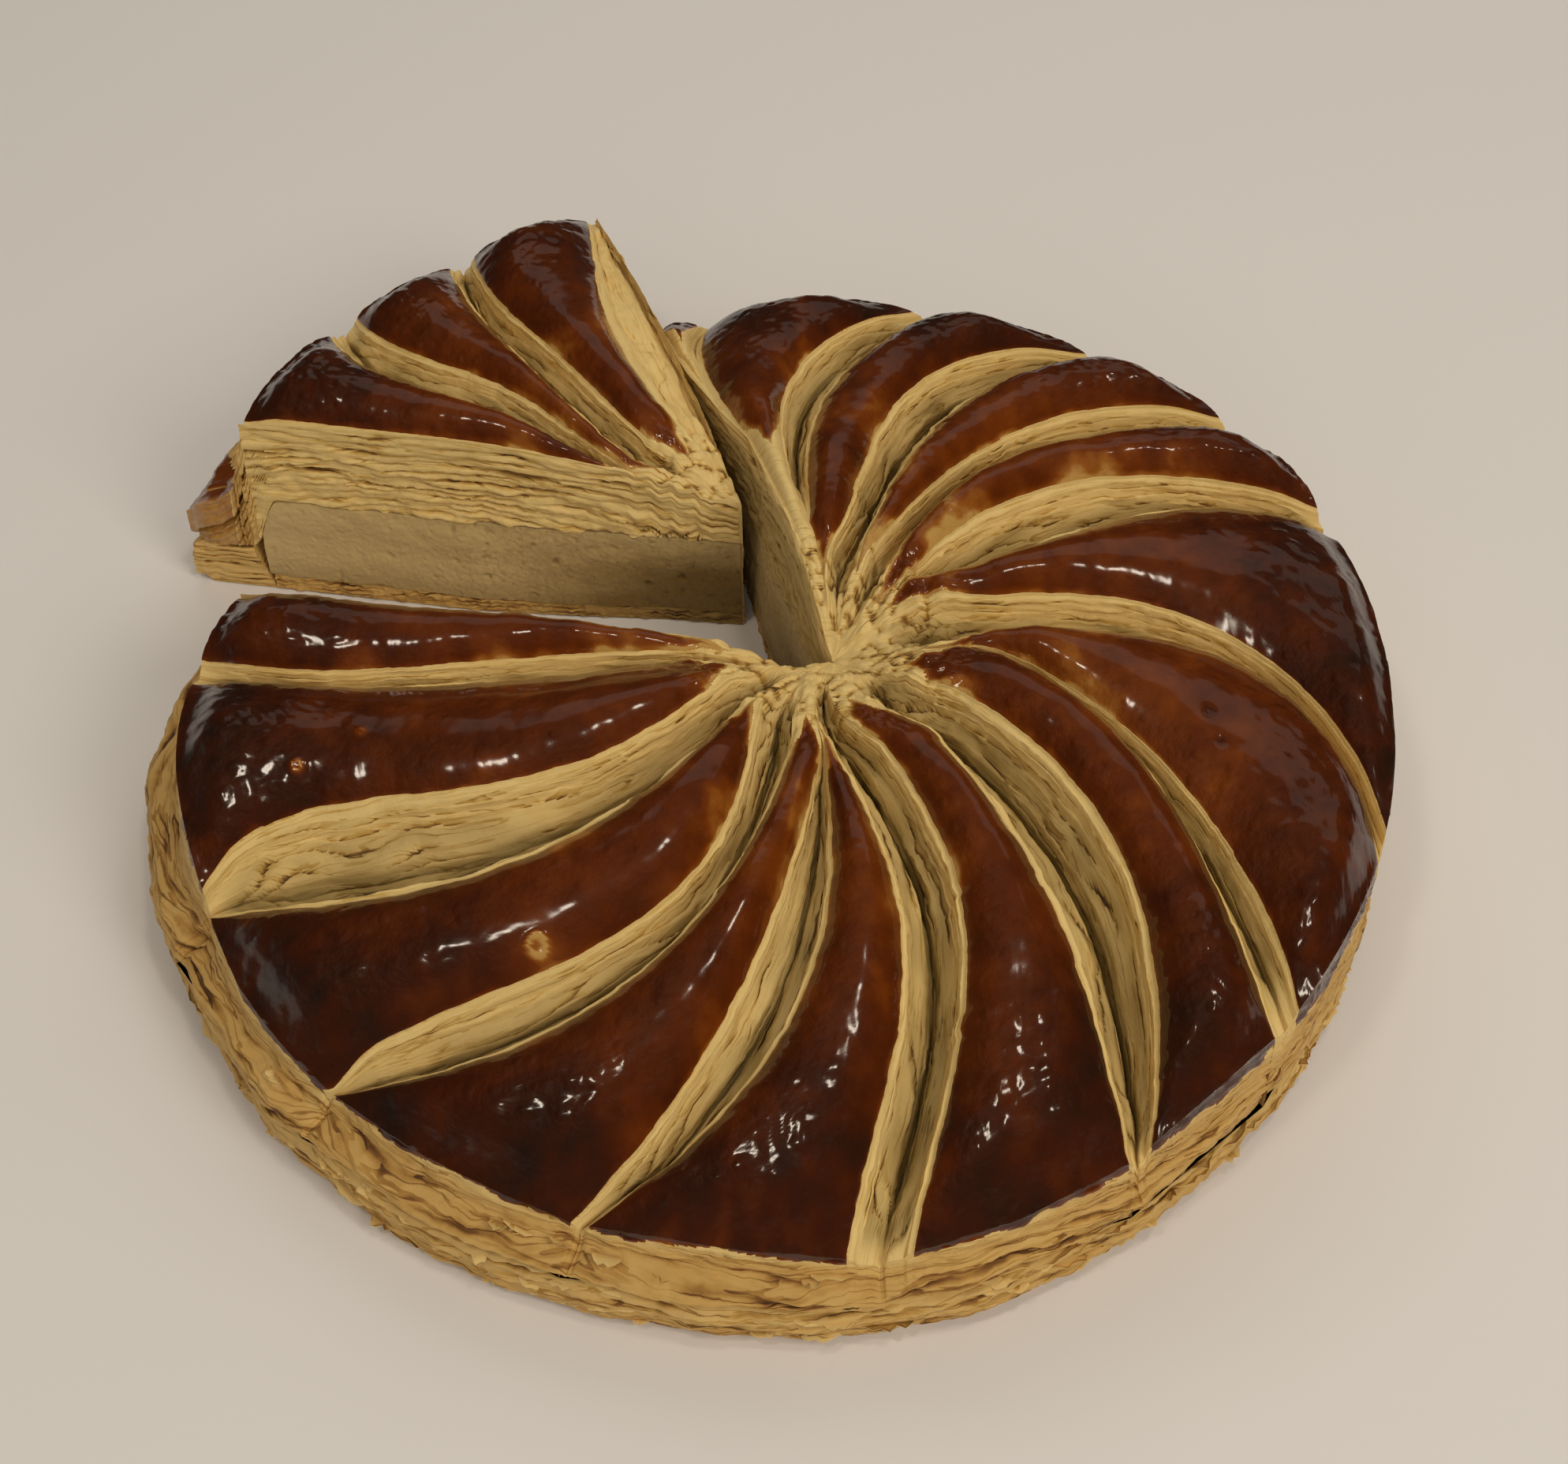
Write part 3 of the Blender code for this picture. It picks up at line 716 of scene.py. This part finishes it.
def groove_shade(w):
    """Painted shade, dark and olive: most on a groove's floor, and low on the first cut's face."""
    shade = 0.6 * ease(w.down, 0.34, 0.52) + 0.4 * ease(w.down, 0.58, 0.8)
    # Painted shade on one wall of the front grooves, which faces away from the light.
    away_wall_shade = 0.2 * ease(w.down, 0.1, 0.35) * (w.side < 0) * (w.piece is MAIN and w.index > 5)
    # Walls of the left front grooves that face the camera get less painted shade.
    shade = shade * np.where((w.side > 0) & (w.piece is MAIN) & (w.index > 8), 0.65, 1)
    shade = shade * (0.8 + 0.5 * waves(w.along / 10, w.level / 2.2, w.seed + 13)) + away_wall_shade
    shade_and_tone = np.where(w.on_groove, np.clip(shade, 0, 1), 0)
    shade_and_tone = shade_and_tone * w.opening * fall(w.wall, 0, 0.3) * (not w.last)
    # Painted shadow lower down the large piece's first cut face, in the narrow gap.
    cut_face_shade = 0.55 if w.piece is MAIN and w.index == 0 else 0
    return np.where(w.on_face, cut_face_shade * ease(w.below, 1, 7), shade_and_tone)


def close_wedge(w, grid):
    """Closes the grid underneath: all points, the quads, and the other faces' outlines.

    Two chains of points run out from below the tip. Where there is a cut, its face's own last
    column is the chain, and elsewhere the chain hangs below the border column.
    """
    rows, count = grid.shape[:2]
    number = np.arange(rows * count).reshape(rows, count)
    points = [grid.reshape(-1, 3)]
    total = rows * count
    borders = []
    for column, face in ((0, w.kind[0] == FIRST_FACE), (count - 1, w.kind[-1] == LAST_FACE)):
        chain = number[:, column]
        if not face:
            low = grid[:-1, column].copy()
            low[:, 2] = w.roof[:-1, column] * CAKE_RADIUS
            points.append(low)
            chain = np.append(np.arange(total, total + rows - 1), number[-1, column])
            total += rows - 1
        borders.append((chain, number[:, column], face, column > 0))
    points.append(to_metres(np.array([w.piece.tip, w.piece.tip]), np.array([
        dome_height(w.piece, 0, 0.3) - EDGE_DROP * 0.5,
        roof_height(w.piece, w.end_angle[:1], np.array([0]))[0] + GAP,
    ])))
    high_tip, low_tip = total, total + 1
    left, right = borders[0][0], borders[1][0]
    quads = [grid_quads(number), np.stack([left[:-2], left[1:-1], right[1:-1], right[:-2]], axis=-1)]
    others = [(high_tip, number[0, k + 1], number[0, k]) for k in range(count - 1)]
    others.append((low_tip, left[0], right[0]))
    for chain, column, face, flip in borders:
        turn = -1 if flip else 1
        outline = (high_tip, column[0], low_tip) if face else (high_tip, column[0], chain[0], low_tip)
        others.append(outline[::turn])
        if not face:
            others.append((column[-2], column[-1], chain[-2])[::turn])
            strip = np.stack([column[:-2], column[1:-1], chain[1:-1], chain[:-2]], axis=-1)
            quads.append(strip[:, ::turn])
    others.append((left[-2], *number[-1], right[-2]))
    return np.concatenate(points), np.concatenate(quads), others


def scored_wedge(piece, index, distances, table, materials):
    """One petal, the groove after it and the outer wall below them, closed underneath."""
    w = lay_out(piece, index, distances, table)
    unscored, darker = add_marks(w, unscored_top(w))
    height, shift = cut_groove(w, unscored)
    height = crumple_middle(w, height)
    height = fold_wall(w, height, unscored)
    height, shift = open_faces(w, height, shift)
    sideways = directions(w.angle + 90)
    grid = to_metres(place_of(piece, w.angle, w.distance) + shift[..., None] * sideways, height)
    glazed, glaze_bake = glaze_values(w, darker)
    bare_bake = 0.15 + 0.7 * ease(w.wall, 0, 0.35)
    layer = np.where(w.on_face, w.bent, np.where(w.on_petal, w.y, 26 * w.place + 60 * index))
    values = {
        "bake": np.where(glazed, glaze_bake, bare_bake),
        # Painted shade in crevices, creases and hollows.
        "cavity": np.maximum(w.cavity, w.rim_cavity),
        # Painted shade on groove floors and on the first cut's face.
        "shade_and_tone": groove_shade(w),
        "run": np.where(w.wall > 0, w.round, np.where(w.on_petal, w.x, w.along)),
        "layer": np.where(w.wall > 0, w.rim_level + 30, layer),
    }
    points, quads, others = close_wedge(w, grid)
    attributes = {}
    for key, value in values.items():
        attributes[key] = np.zeros(len(points))
        attributes[key][: glazed.size] = np.broadcast_to(value, glazed.shape).ravel()
    corners = sum(glazed[rows, columns].astype(int) for rows in HALVES for columns in HALVES)
    face_material = np.zeros(len(quads) + len(others))
    face_material[: corners.size] = (corners > 2).ravel()
    name = f"{piece.name}_petal_{index + 1:02d}"
    obj = add_mesh(name, points, quads, others, materials, face_material, attributes)
    settle(obj, f"{piece.name}_top_pastry")


# ---- solids between the two cuts


def from_tip(piece, plan):
    """Distances from the piece's tip, in shares of the radius."""
    return np.linalg.norm(plan - np.array(piece.tip), axis=-1)


def pastry_values(cavity, bake, shade_and_tone, run, layer):
    """The values that the pastry's finish reads, as arrays of one shape; the first is painted shade in
    crevices, and the third painted shade on groove floors and cut faces.
    """
    arrays = np.broadcast_arrays(cavity, bake, shade_and_tone, run, layer)
    return dict(zip(("cavity", "bake", "shade_and_tone", "run", "layer"), arrays))


def sector_solid(piece, part, section, angles, shares, ups, cap, sides, material, node_part):
    """A closed solid swept from one cut to the other.

    section(angle, share along, share up) gives a plan and heights. Between the cuts each sweep
    angle has only the outline of that grid, whose values come from sides. The two cuts have the
    whole grid: cap(end, up, plan, height) gives how far it stands out, in millimetres, and its
    values. The first cut bends as cut_offset says, and what lies behind it less and less so.
    """
    share, up = np.meshgrid(shares, ups, indexing="ij")
    number = np.arange(share.size).reshape(share.shape)
    loop = outline_of(number)
    between = angles[1:-1, None]
    border = (share.ravel()[loop], up.ravel()[loop])
    outline, heights = section(between, *border)
    bend = cut_offset(piece, from_tip(piece, outline), heights)
    bend = bend * fall(angles[0] - between, 0, BEND_FADES)
    outline = outline + bend[..., None] * MM * directions(between + 90)
    caps, cap_values = [], []
    for end, outwards in ((0, 1), (-1, -1)):
        plan, height = section(angles[end] + 0 * share, share, up)
        offset, values = cap(end, up, plan, height)
        if end == 0:
            offset = offset + cut_offset(piece, from_tip(piece, plan), height)
        plan = plan + outwards * offset[..., None] * MM * directions(angles[end] + 90)
        caps.append(to_metres(plan, height).reshape(-1, 3))
        cap_values.append(values)
    inner = (len(between), len(loop))
    far = number.size + inner[0] * inner[1]
    middle = number.size + np.arange(inner[0] * inner[1]).reshape(inner)
    rings = np.concatenate([loop[None], middle, loop[None] + far])
    after = np.roll(rings, -1, axis=1)
    skin = np.stack([rings[:-1], after[:-1], after[1:], rings[1:]], axis=-1).reshape(-1, 4)
    face = grid_quads(number)
    quads = np.concatenate([skin, face, face[:, ::-1] + far])
    points = np.concatenate([caps[0], to_metres(outline, heights).reshape(-1, 3), caps[1]])
    attributes = {}
    for key, value in sides(between, *border, outline, heights).items():
        parts = (cap_values[0][key], np.broadcast_to(value, inner), cap_values[1][key])
        attributes[key] = np.concatenate([values.ravel() for values in parts])
    name = f"{piece.name}_{part}"
    obj = add_mesh(name, points, quads, [], [material], np.zeros(len(quads)), attributes)
    settle(obj, f"{piece.name}_{node_part}")


def rim_radius(piece, height):
    """The bottom pastry's outer radius: pulled in at the foot, bulged, and creased at the seam."""
    up = height / SEAM_HEIGHT
    foot = -0.022 * fall(up, 0, 0.22)
    bulge = RIM_BULGE * np.sin(np.pi * np.clip(up, 0, 1)) ** 0.5
    return piece.base_radius + foot + bulge - 0.008 * ease(up, 0.86, 1)


def rim_ring(piece, material):
    """The bottom pastry's raised rim: outer radius as rim_radius says, plus the leaves' edges."""
    steps = int((piece.first_cut - piece.last_cut) * RIM_STEPS)

    def section(angle, share, up):
        height = seam_height(angle) * up
        base, along = reach(piece, angle, piece.base_radius), way_round(angle)
        level = height / MM + rim_wander(along)
        stand, _ = leaves(along, level, RIM_LEAF, 23, 1.5)
        fine, _ = leaves(along, level, FINE_LEAF, 24, 1.3)
        torn = 0.35 * rough(along / 3.5, height / MM / 1.8, 29, 4) + 0.3 * fine
        relief = (1.3 * stand - 0.8 + torn) * ease(up, 0, 0.12)
        relief = relief + rim_swell(along) * ease(up, 0, 0.5)
        outside = base + rim_radius(piece, height) - piece.base_radius + relief * MM
        start = base * FILLING_EDGE * (1 + 0.04 * up)
        distance = start + (outside - start) * share
        return place_of(piece, angle, distance), height + 0 * distance

    def sides(angle, share, up, plan, height):
        along = way_round(angle)
        level = height / MM + rim_wander(along)
        _, crevice = leaves(along, level, RIM_LEAF, 23, 1.5)
        bake = 0.9 - 0.25 * ease(up, 0.2, 0.9)
        # Painted shade in the crevices of the rim's outside.
        return pastry_values(crevice * (share > 0.99), bake, 0, along, level)

    def cap(end, up, plan, height):
        distance, level = from_tip(piece, plan) / MM, height / MM
        stand, crevice = leaves(distance, level, 1.2, 41, 1.3)
        torn = 0.5 * rough(distance / 2.5, level / 2.5, 43)
        # Painted shade in the cut face's crevices.
        values = pastry_values(crevice, 0.6, 0, distance, level)
        return (0.8 * stand - 0.4 + torn) * ease(up, 0, 0.1), values

    sector_solid(
        piece, "rim", section, np.linspace(piece.first_cut, piece.last_cut, steps), RIM_SHARES,
        np.linspace(0, 1, 34), cap, sides, material, "bottom_pastry",
    )


def inner_distance(piece, angle, share, reaches=1):
    """Distances from just off the tip to the inside of the rim, or this many times as far."""
    inside = reach(piece, angle, piece.base_radius) * FILLING_EDGE
    return 0.5 * MM + (inside * reaches - 0.5 * MM) * share


def floor_sheet(piece, material):
    """The bottom pastry's floor: flat below, from the tip out to the rim, 3 mm thick."""

    def section(angle, share, up):
        distance = inner_distance(piece, angle, share)
        return place_of(piece, angle, distance), FLOOR_THICKNESS * up + 0 * distance

    def sides(angle, share, up, plan, height):
        return pastry_values(0, 0.7, 0, plan[..., 0] / MM, plan[..., 1] / MM)

    def cap(end, up, plan, height):
        distance, level = from_tip(piece, plan) / MM, height / MM
        stand, crevice = leaves(distance, level, 0.9, 47)
        torn = 0.5 * rough(distance / 2, level / 2, 49)
        # Painted shadow on the cut faces near the tip, in the narrow gap between the pieces.
        shade_and_tone = 0.85 * fall(distance, 5, 60)
        # Painted shade in the crevices.
        values = pastry_values(crevice, 0.85, shade_and_tone, distance, level)
        return (0.6 * stand - 0.2 + torn) * ease(up, 0, 0.1), values

    sector_solid(
        piece, "floor", section, np.linspace(piece.first_cut, piece.last_cut, 24),
        np.linspace(0, 1, 300), np.linspace(0, 1, 12), cap, sides, material,
        "bottom_pastry",
    )


def almond_filling(piece, material):
    """The filling: from the floor up to roof_height, out to just inside the rim.

    At the cuts it stands out by waves of 1 mm to 11 mm, less small pits, which are darkened
    with painted shade. Near the tip it is darker with painted shadow from the narrow gap between
    the pieces; it is darker towards the foot too, and paler at the outer end.
    """

    def section(angle, share, up):
        distance = inner_distance(piece, angle, share, 1.01)
        low = FLOOR_THICKNESS + 0.3 * GAP
        return place_of(piece, angle, distance), low + (roof_height(piece, angle, distance) - low) * up

    def sides(angle, share, up, plan, height):
        return {"cavity": np.zeros_like(height), "shade_and_tone": np.zeros_like(height)}

    def cap(end, up, plan, height):
        distance, level = from_tip(piece, plan) / MM, height / MM
        grains = 0.14 * rough(distance / 3.4, level / 2.6, 53 + end)
        grains = grains + 0.12 * waves(distance, level / 0.9, 55 + end)
        pits = ease(waves(distance / 2.1, level / 2, 57 + end), 0.45, 0.9)
        offset = grains - 0.35 * pits + 0.5 * waves(distance / 11, level / 7, 59 + end) + 0.1
        # Painted shadow near the tip, from the narrow gap between the pieces; the foot is darker as well.
        near_tip = 1 - ease(distance, 5, 55)
        shade_and_tone = 1.1 * near_tip * fall(up, 0.4, 1.1) + 0.35 * fall(up, 0, 0.3)
        pale = ease(distance, 45, 80)
        # Pits darkened with painted shade, and paler towards the outer end.
        return offset, {"cavity": 0.5 * pits * (1 - pale) - 0.35 * pale, "shade_and_tone": shade_and_tone}

    sector_solid(
        piece, "almond_filling", section, np.linspace(piece.first_cut, piece.last_cut, 26),
        np.linspace(0, 1, 260), np.linspace(0, 1, 58), cap, sides, material,
        "filling",
    )


def rim_flakes(piece, material):
    """Thin torn flakes that stand out of the rim, each a curled leaf with a ragged free edge.

    A flake is a small grid. Its free edge stands out by a random depth, curls up or down with the
    square of the way out, and tapers to both ends as a half circle. Its underside is the same
    grid a sixth of a millimetre lower. Sizes are in millimetres.
    """
    count = FLAKES[piece.name]
    rng = np.random.default_rng(5)

    def random(low, high):
        return rng.uniform(low, high, count)[:, None, None]

    angle = random(piece.last_cut + 4, piece.first_cut - 4)
    level = random(0.12, 1.55) * SEAM_HEIGHT
    length = random(0.9, 3.4)
    depth = random(0.7, 1.7)
    curl = random(-0.9, 0.7)
    tilt = random(-0.25, 0.25)
    u = np.linspace(-1, 1, FLAKE_GRID[0])[None, :, None]
    v = np.linspace(0, 1, FLAKE_GRID[1])[None, None, :]
    ragged = 1 + 0.35 * rng.uniform(-1, 1, (count, FLAKE_GRID[0], 1))
    out = (v * depth * np.sqrt(1 - 0.85 * u**2) * ragged - 0.7) * MM
    turn = angle + np.degrees(u * length * MM)
    height = level + (curl * v**2 + tilt * u * length + 0.2 * v) * MM
    above = ease(height, SEAM_HEIGHT, SEAM_HEIGHT * 1.8)
    surface = rim_radius(piece, np.minimum(height, SEAM_HEIGHT)) + rim_swell(way_round(turn)) * MM
    surface = surface - piece.base_radius + reach(piece, turn, piece.base_radius) - 0.016 * above
    upper = to_metres(place_of(piece, turn + 0 * v, surface + out), height)
    lower = upper - np.array([0, 0, FLAKE_THICKNESS * MILLIMETRE])
    number = np.arange(2 * u.size * v.size).reshape(2, u.size, v.size)
    top = grid_quads(number[0])
    loops = [outline_of(layer) for layer in number]
    after = [np.roll(loop, -1) for loop in loops]
    edge = np.stack([loops[0], loops[1], after[1], after[0]], axis=-1)
    flake = np.concatenate([top, top[:, ::-1] + u.size * v.size, edge])
    quads = (flake[None] + number.size * np.arange(count)[:, None, None]).reshape(-1, 4)
    free = v + 0 * height
    # A flake's root, where it meets the rim, is darker with painted shade, and browner.
    values = pastry_values(0.25 - 0.3 * free, 0.75 - 0.45 * free, 0, way_round(turn), height / MM)
    attributes = {key: np.stack([value, value], axis=1).ravel() for key, value in values.items()}
    points = np.stack([upper, lower], axis=1).reshape(-1, 3)
    name = f"{piece.name}_flakes"
    obj = add_mesh(name, points, quads, [], [material], np.zeros(len(quads)), attributes)
    settle(obj, f"{piece.name}_bottom_pastry")


# ---- finishes


def linear(hex_colour):
    """An sRGB hex colour as linear red, green, blue and alpha."""
    parts = np.array([int(hex_colour[i : i + 2], 16) for i in (1, 3, 5)]) / 255.0
    parts = np.where(parts <= 0.04045, parts / 12.92, ((parts + 0.055) / 1.055) ** 2.4)
    return (*parts, 1.0)


def node(tree, kind, settings=None, **sockets):
    """Adds a node, sets its properties and sockets, and fills more sockets by name, or as _0.

    Each of those takes a value, or the output of another node.
    """
    made = tree.nodes.new(kind)
    for key, value in (settings or {}).items():
        if hasattr(made, key):
            setattr(made, key, value)
        else:
            made.inputs[key].default_value = value
    for key, value in sockets.items():
        socket = made.inputs[int(key[1:])] if key[0] == "_" else made.inputs[key]
        if isinstance(value, bpy.types.NodeSocket):
            tree.links.new(value, socket)
        else:
            socket.default_value = value
    return made


def calculate(tree, operation, *values):
    """The result of a math node, from numbers and other nodes' outputs."""
    sockets = {f"_{number}": value for number, value in enumerate(values)}
    return node(tree, "ShaderNodeMath", {"operation": operation}, **sockets).outputs[0]


def add_to(tree, value, other, share):
    """value + (other - 0.5) * share."""
    part = calculate(tree, "MULTIPLY_ADD", other, share, -0.5 * share)
    return calculate(tree, "ADD", value, part)


def mix(tree, share, first, second):
    made = node(tree, "ShaderNodeMix", {"data_type": "RGBA"}, _0=share, _6=first, _7=second)
    return made.outputs[2]


def ramp(tree, value, stops):
    """A colour ramp through (position, hex colour) stops."""
    made = node(tree, "ShaderNodeValToRGB", _0=value)
    elements = made.color_ramp.elements
    while len(elements) < len(stops):
        elements.new(0.5)
    for element, (position, colour) in zip(elements, stops):
        element.position = position
        element.color = linear(colour)
    return made.outputs["Color"]


def noise(tree, position, millimetres, detail=3.0):
    settings = {"Scale": 1.0 / (millimetres * MILLIMETRE), "Detail": detail, "Roughness": 0.55}
    return node(tree, "ShaderNodeTexNoise", settings, Vector=position).outputs["Fac"]


def stretched_noise(tree, leaf, length, thickness):
    """Noise drawn out along the leaves, which are this long and thick in millimetres."""
    per_leaf = (1.0 / length, 1.0 / thickness, 1.0)
    scaled = node(tree, "ShaderNodeVectorMath", {"operation": "MULTIPLY"}, _0=leaf, _1=per_leaf)
    settings = {"Scale": 1.0, "Detail": 2.0, "Roughness": 0.6}
    return node(tree, "ShaderNodeTexNoise", settings, Vector=scaled.outputs[0]).outputs["Fac"]


def position_in(tree):
    return node(tree, "ShaderNodeTexCoord").outputs["Object"]


def attribute(tree, name):
    return node(tree, "ShaderNodeAttribute", {"attribute_name": name}).outputs["Fac"]


def shader_of(name, settings):
    """A new material, its nodes, and its shader with these settings."""
    material = bpy.data.materials.new(name)
    material.use_nodes = True
    tree = material.node_tree
    shader = tree.nodes["Principled BSDF"]
    for key, value in settings.items():
        shader.inputs[key].default_value = value
    return material, tree, shader


def finish(tree, shader, colour, height, strength, millimetres):
    """Links the colour, and a bump that is this high, to the shader."""
    settings = {"Strength": strength, "Distance": millimetres * MILLIMETRE}
    bump = node(tree, "ShaderNodeBump", settings, Height=height)
    tree.links.new(colour, shader.inputs["Base Color"])
    tree.links.new(bump.outputs[0], shader.inputs["Normal"])


def egg_glaze():
    """Egg wash baked on puff pastry: dark brown, glossy, thin at the edges, finely blistered."""
    material, tree, shader = shader_of("egg_glazed_pastry", {
        "Roughness": 0.5, "IOR": 1.45, "Specular IOR Level": 0.2, "Coat Weight": 0.85,
        "Coat Roughness": 0.12,
    })
    position = position_in(tree)
    browned = add_to(tree, attribute(tree, "bake"), noise(tree, position, 7.0, 4.0), 0.28)
    browned = add_to(tree, browned, noise(tree, position, 1.3, 2.0), 0.12)
    colour = ramp(tree, browned, [
        (0.00, "#c29650"), (0.12, "#9c5d1d"), (0.30, "#783806"), (0.50, "#602803"),
        (0.76, "#431a05"), (1.00, "#2a170d"),
    ])
    cells = {"Scale": 1.0 / (3.4 * MILLIMETRE), "feature": "SMOOTH_F1"}
    distance = node(tree, "ShaderNodeTexVoronoi", cells, Vector=position).outputs["Distance"]
    rise = node(tree, "ShaderNodeMapRange", {"From Min": 0.30, "From Max": 0.10}, _0=distance)
    height = calculate(tree, "MULTIPLY_ADD", rise.outputs[0], 0.8, noise(tree, position, 1.2, 2.0))
    finish(tree, shader, colour, height, 0.7, 0.42)
    return material


def puff_pastry():
    """Baked puff pastry: dry thin leaves, pale gold on their edges and brown with painted shade in the
    crevices.
    """
    material, tree, shader = shader_of("puff_pastry_leaves", {"Roughness": 0.62, "IOR": 1.45})
    position = position_in(tree)
    leaf = node(tree, "ShaderNodeCombineXYZ", X=attribute(tree, "run"), Y=attribute(tree, "layer"))
    streaks = stretched_noise(tree, leaf.outputs[0], 9.0, 0.55)
    gap = calculate(tree, "COMPARE", stretched_noise(tree, leaf.outputs[0], 24.0, 1.5), 0.5, 0.018)
    # Painted shade in crevices, creases and hollows, broken up by the leaves' streaks and noise.
    cavity = add_to(tree, attribute(tree, "cavity"), noise(tree, position, 2.0, 4.0), 0.45)
    cavity = add_to(tree, cavity, streaks, 0.42)
    strong = calculate(tree, "MULTIPLY", streaks, attribute(tree, "bake"))
    cavity = calculate(tree, "MULTIPLY_ADD", gap, 0.40, add_to(tree, cavity, strong, 0.60))
    bake = add_to(tree, attribute(tree, "bake"), noise(tree, position, 5.0, 3.0), 0.5)
    pale = ramp(tree, cavity, [(0.0, "#efd28b"), (0.35, "#dab35f"), (0.65, "#a0773a"), (1.0, "#553a16")])
    baked = ramp(tree, cavity, [(0.0, "#cda158"), (0.35, "#b0813c"), (0.65, "#7c4f22"), (1.0, "#44280e")])
    # Dark olive colours for the painted shade of groove floors and the first cut's face.
    shaded_olive = ramp(tree, cavity, [(0.0, "#8a7039"), (0.35, "#6b5327"), (0.65, "#4a3515"), (1.0, "#2a1c09")])
    colour = mix(tree, attribute(tree, "shade_and_tone"), mix(tree, bake, pale, baked), shaded_olive)
    height = add_to(tree, noise(tree, position, 0.9, 4.0), streaks, 0.8)
    finish(tree, shader, colour, calculate(tree, "MULTIPLY_ADD", gap, -0.6, height), 0.5, 0.22)
    return material


def almond_cream():
    """Baked almond cream: moist ground almonds, greenish beige, with pits and lighter grains."""
    material, tree, shader = shader_of("baked_almond_cream", {"Roughness": 0.55, "IOR": 1.45})
    position = position_in(tree)
    # Painted shade in the pits, and paler towards the outer end.
    depth = add_to(tree, attribute(tree, "cavity"), noise(tree, position, 0.9, 3.0), 1.1)
    light = ramp(tree, depth, [(0.0, "#cdb27a"), (0.4, "#a8905a"), (1.0, "#7c6534")])
    # Dark colours for the painted shadow near the tip and for the darker foot.
    dark = ramp(tree, depth, [(0.0, "#7d6230"), (0.5, "#5f441a"), (1.0, "#42290b")])
    shade_and_tone = add_to(tree, attribute(tree, "shade_and_tone"), noise(tree, position, 6.0, 3.0), 0.35)
    finish(tree, shader, mix(tree, shade_and_tone, light, dark), noise(tree, position, 0.7, 3.0), 0.7, 0.3)
    return material


# ---- floor, lights and camera


def add_floor():
    """A pale, plain floor just below the underside."""
    mesh = bpy.data.meshes.new("floor")
    corners = [(-1, -1), (1, -1), (1, 1), (-1, 1)]
    mesh.from_pydata([(FLOOR_SIZE * x, FLOOR_SIZE * y, 0.0) for x, y in corners], [], [(0, 1, 2, 3)])
    floor = bpy.data.objects.new("floor", mesh)
    floor.location.z = -0.2 * MILLIMETRE
    bpy.context.scene.collection.objects.link(floor)
    material, _, shader = shader_of("pale_floor", {"Roughness": 0.7})
    shader.inputs["Base Color"].default_value = linear("#efebe6")
    mesh.materials.append(material)


def add_light(name, place, size, power, colour, mirrored_in_glaze):
    """A rectangular light that faces the frame's origin."""
    data = bpy.data.lights.new(name, "AREA")
    data.shape = "RECTANGLE"
    data.size, data.size_y = size
    data.energy = power
    data.color = linear(colour)[:3]
    lamp = bpy.data.objects.new(name, data)
    lamp.location = place
    lamp.rotation_euler = (-Vector(place)).to_track_quat("-Z", "Y").to_euler()
    lamp.visible_glossy = mirrored_in_glaze
    bpy.context.scene.collection.objects.link(lamp)


def add_camera():
    data = bpy.data.cameras.new("camera")
    data.sensor_width = 36.0
    data.sensor_fit = "HORIZONTAL"
    data.lens = CAMERA_LENS
    camera = bpy.data.objects.new("camera", data)
    elevation, roll = np.radians(CAMERA_ELEVATION), np.radians(CAMERA_ROLL)
    back = np.array([0.0, -np.cos(elevation), np.sin(elevation)])
    right = np.array([1.0, 0.0, 0.0])
    up = np.cross(back, right)
    across = right * np.cos(roll) + up * np.sin(roll)
    upright = -right * np.sin(roll) + up * np.cos(roll)
    place = np.append(BASE_CENTRE, 0.0) + CAMERA_PLACE
    camera.matrix_world = Matrix(np.vstack([np.column_stack([across, upright, back, place]), [0, 0, 0, 1]]))
    bpy.context.scene.collection.objects.link(camera)
    bpy.context.scene.camera = camera


def add_world():
    """The room's faint even light, which the glaze doesn't mirror."""
    world = bpy.data.worlds.new("room")
    world.use_nodes = True
    background = world.node_tree.nodes["Background"]
    background.inputs["Color"].default_value = linear("#dedcd9")
    background.inputs["Strength"].default_value = 0.22
    world.cycles_visibility.glossy = False
    bpy.context.scene.world = world
    bpy.context.scene.view_settings.view_transform = "Standard"


def build():
    pastry = puff_pastry()
    glaze = egg_glaze()
    cream = almond_cream()
    for piece in (MAIN, SLICE):
        distances, table = edge_table(piece)
        for index in range(len(piece.petals)):
            scored_wedge(piece, index, distances, table, [pastry, glaze])
        rim_ring(piece, pastry)
        rim_flakes(piece, pastry)
        floor_sheet(piece, pastry)
        almond_filling(piece, cream)
    add_floor()
    add_world()
    for light in LIGHTS:
        add_light(*light)
    add_camera()


build()
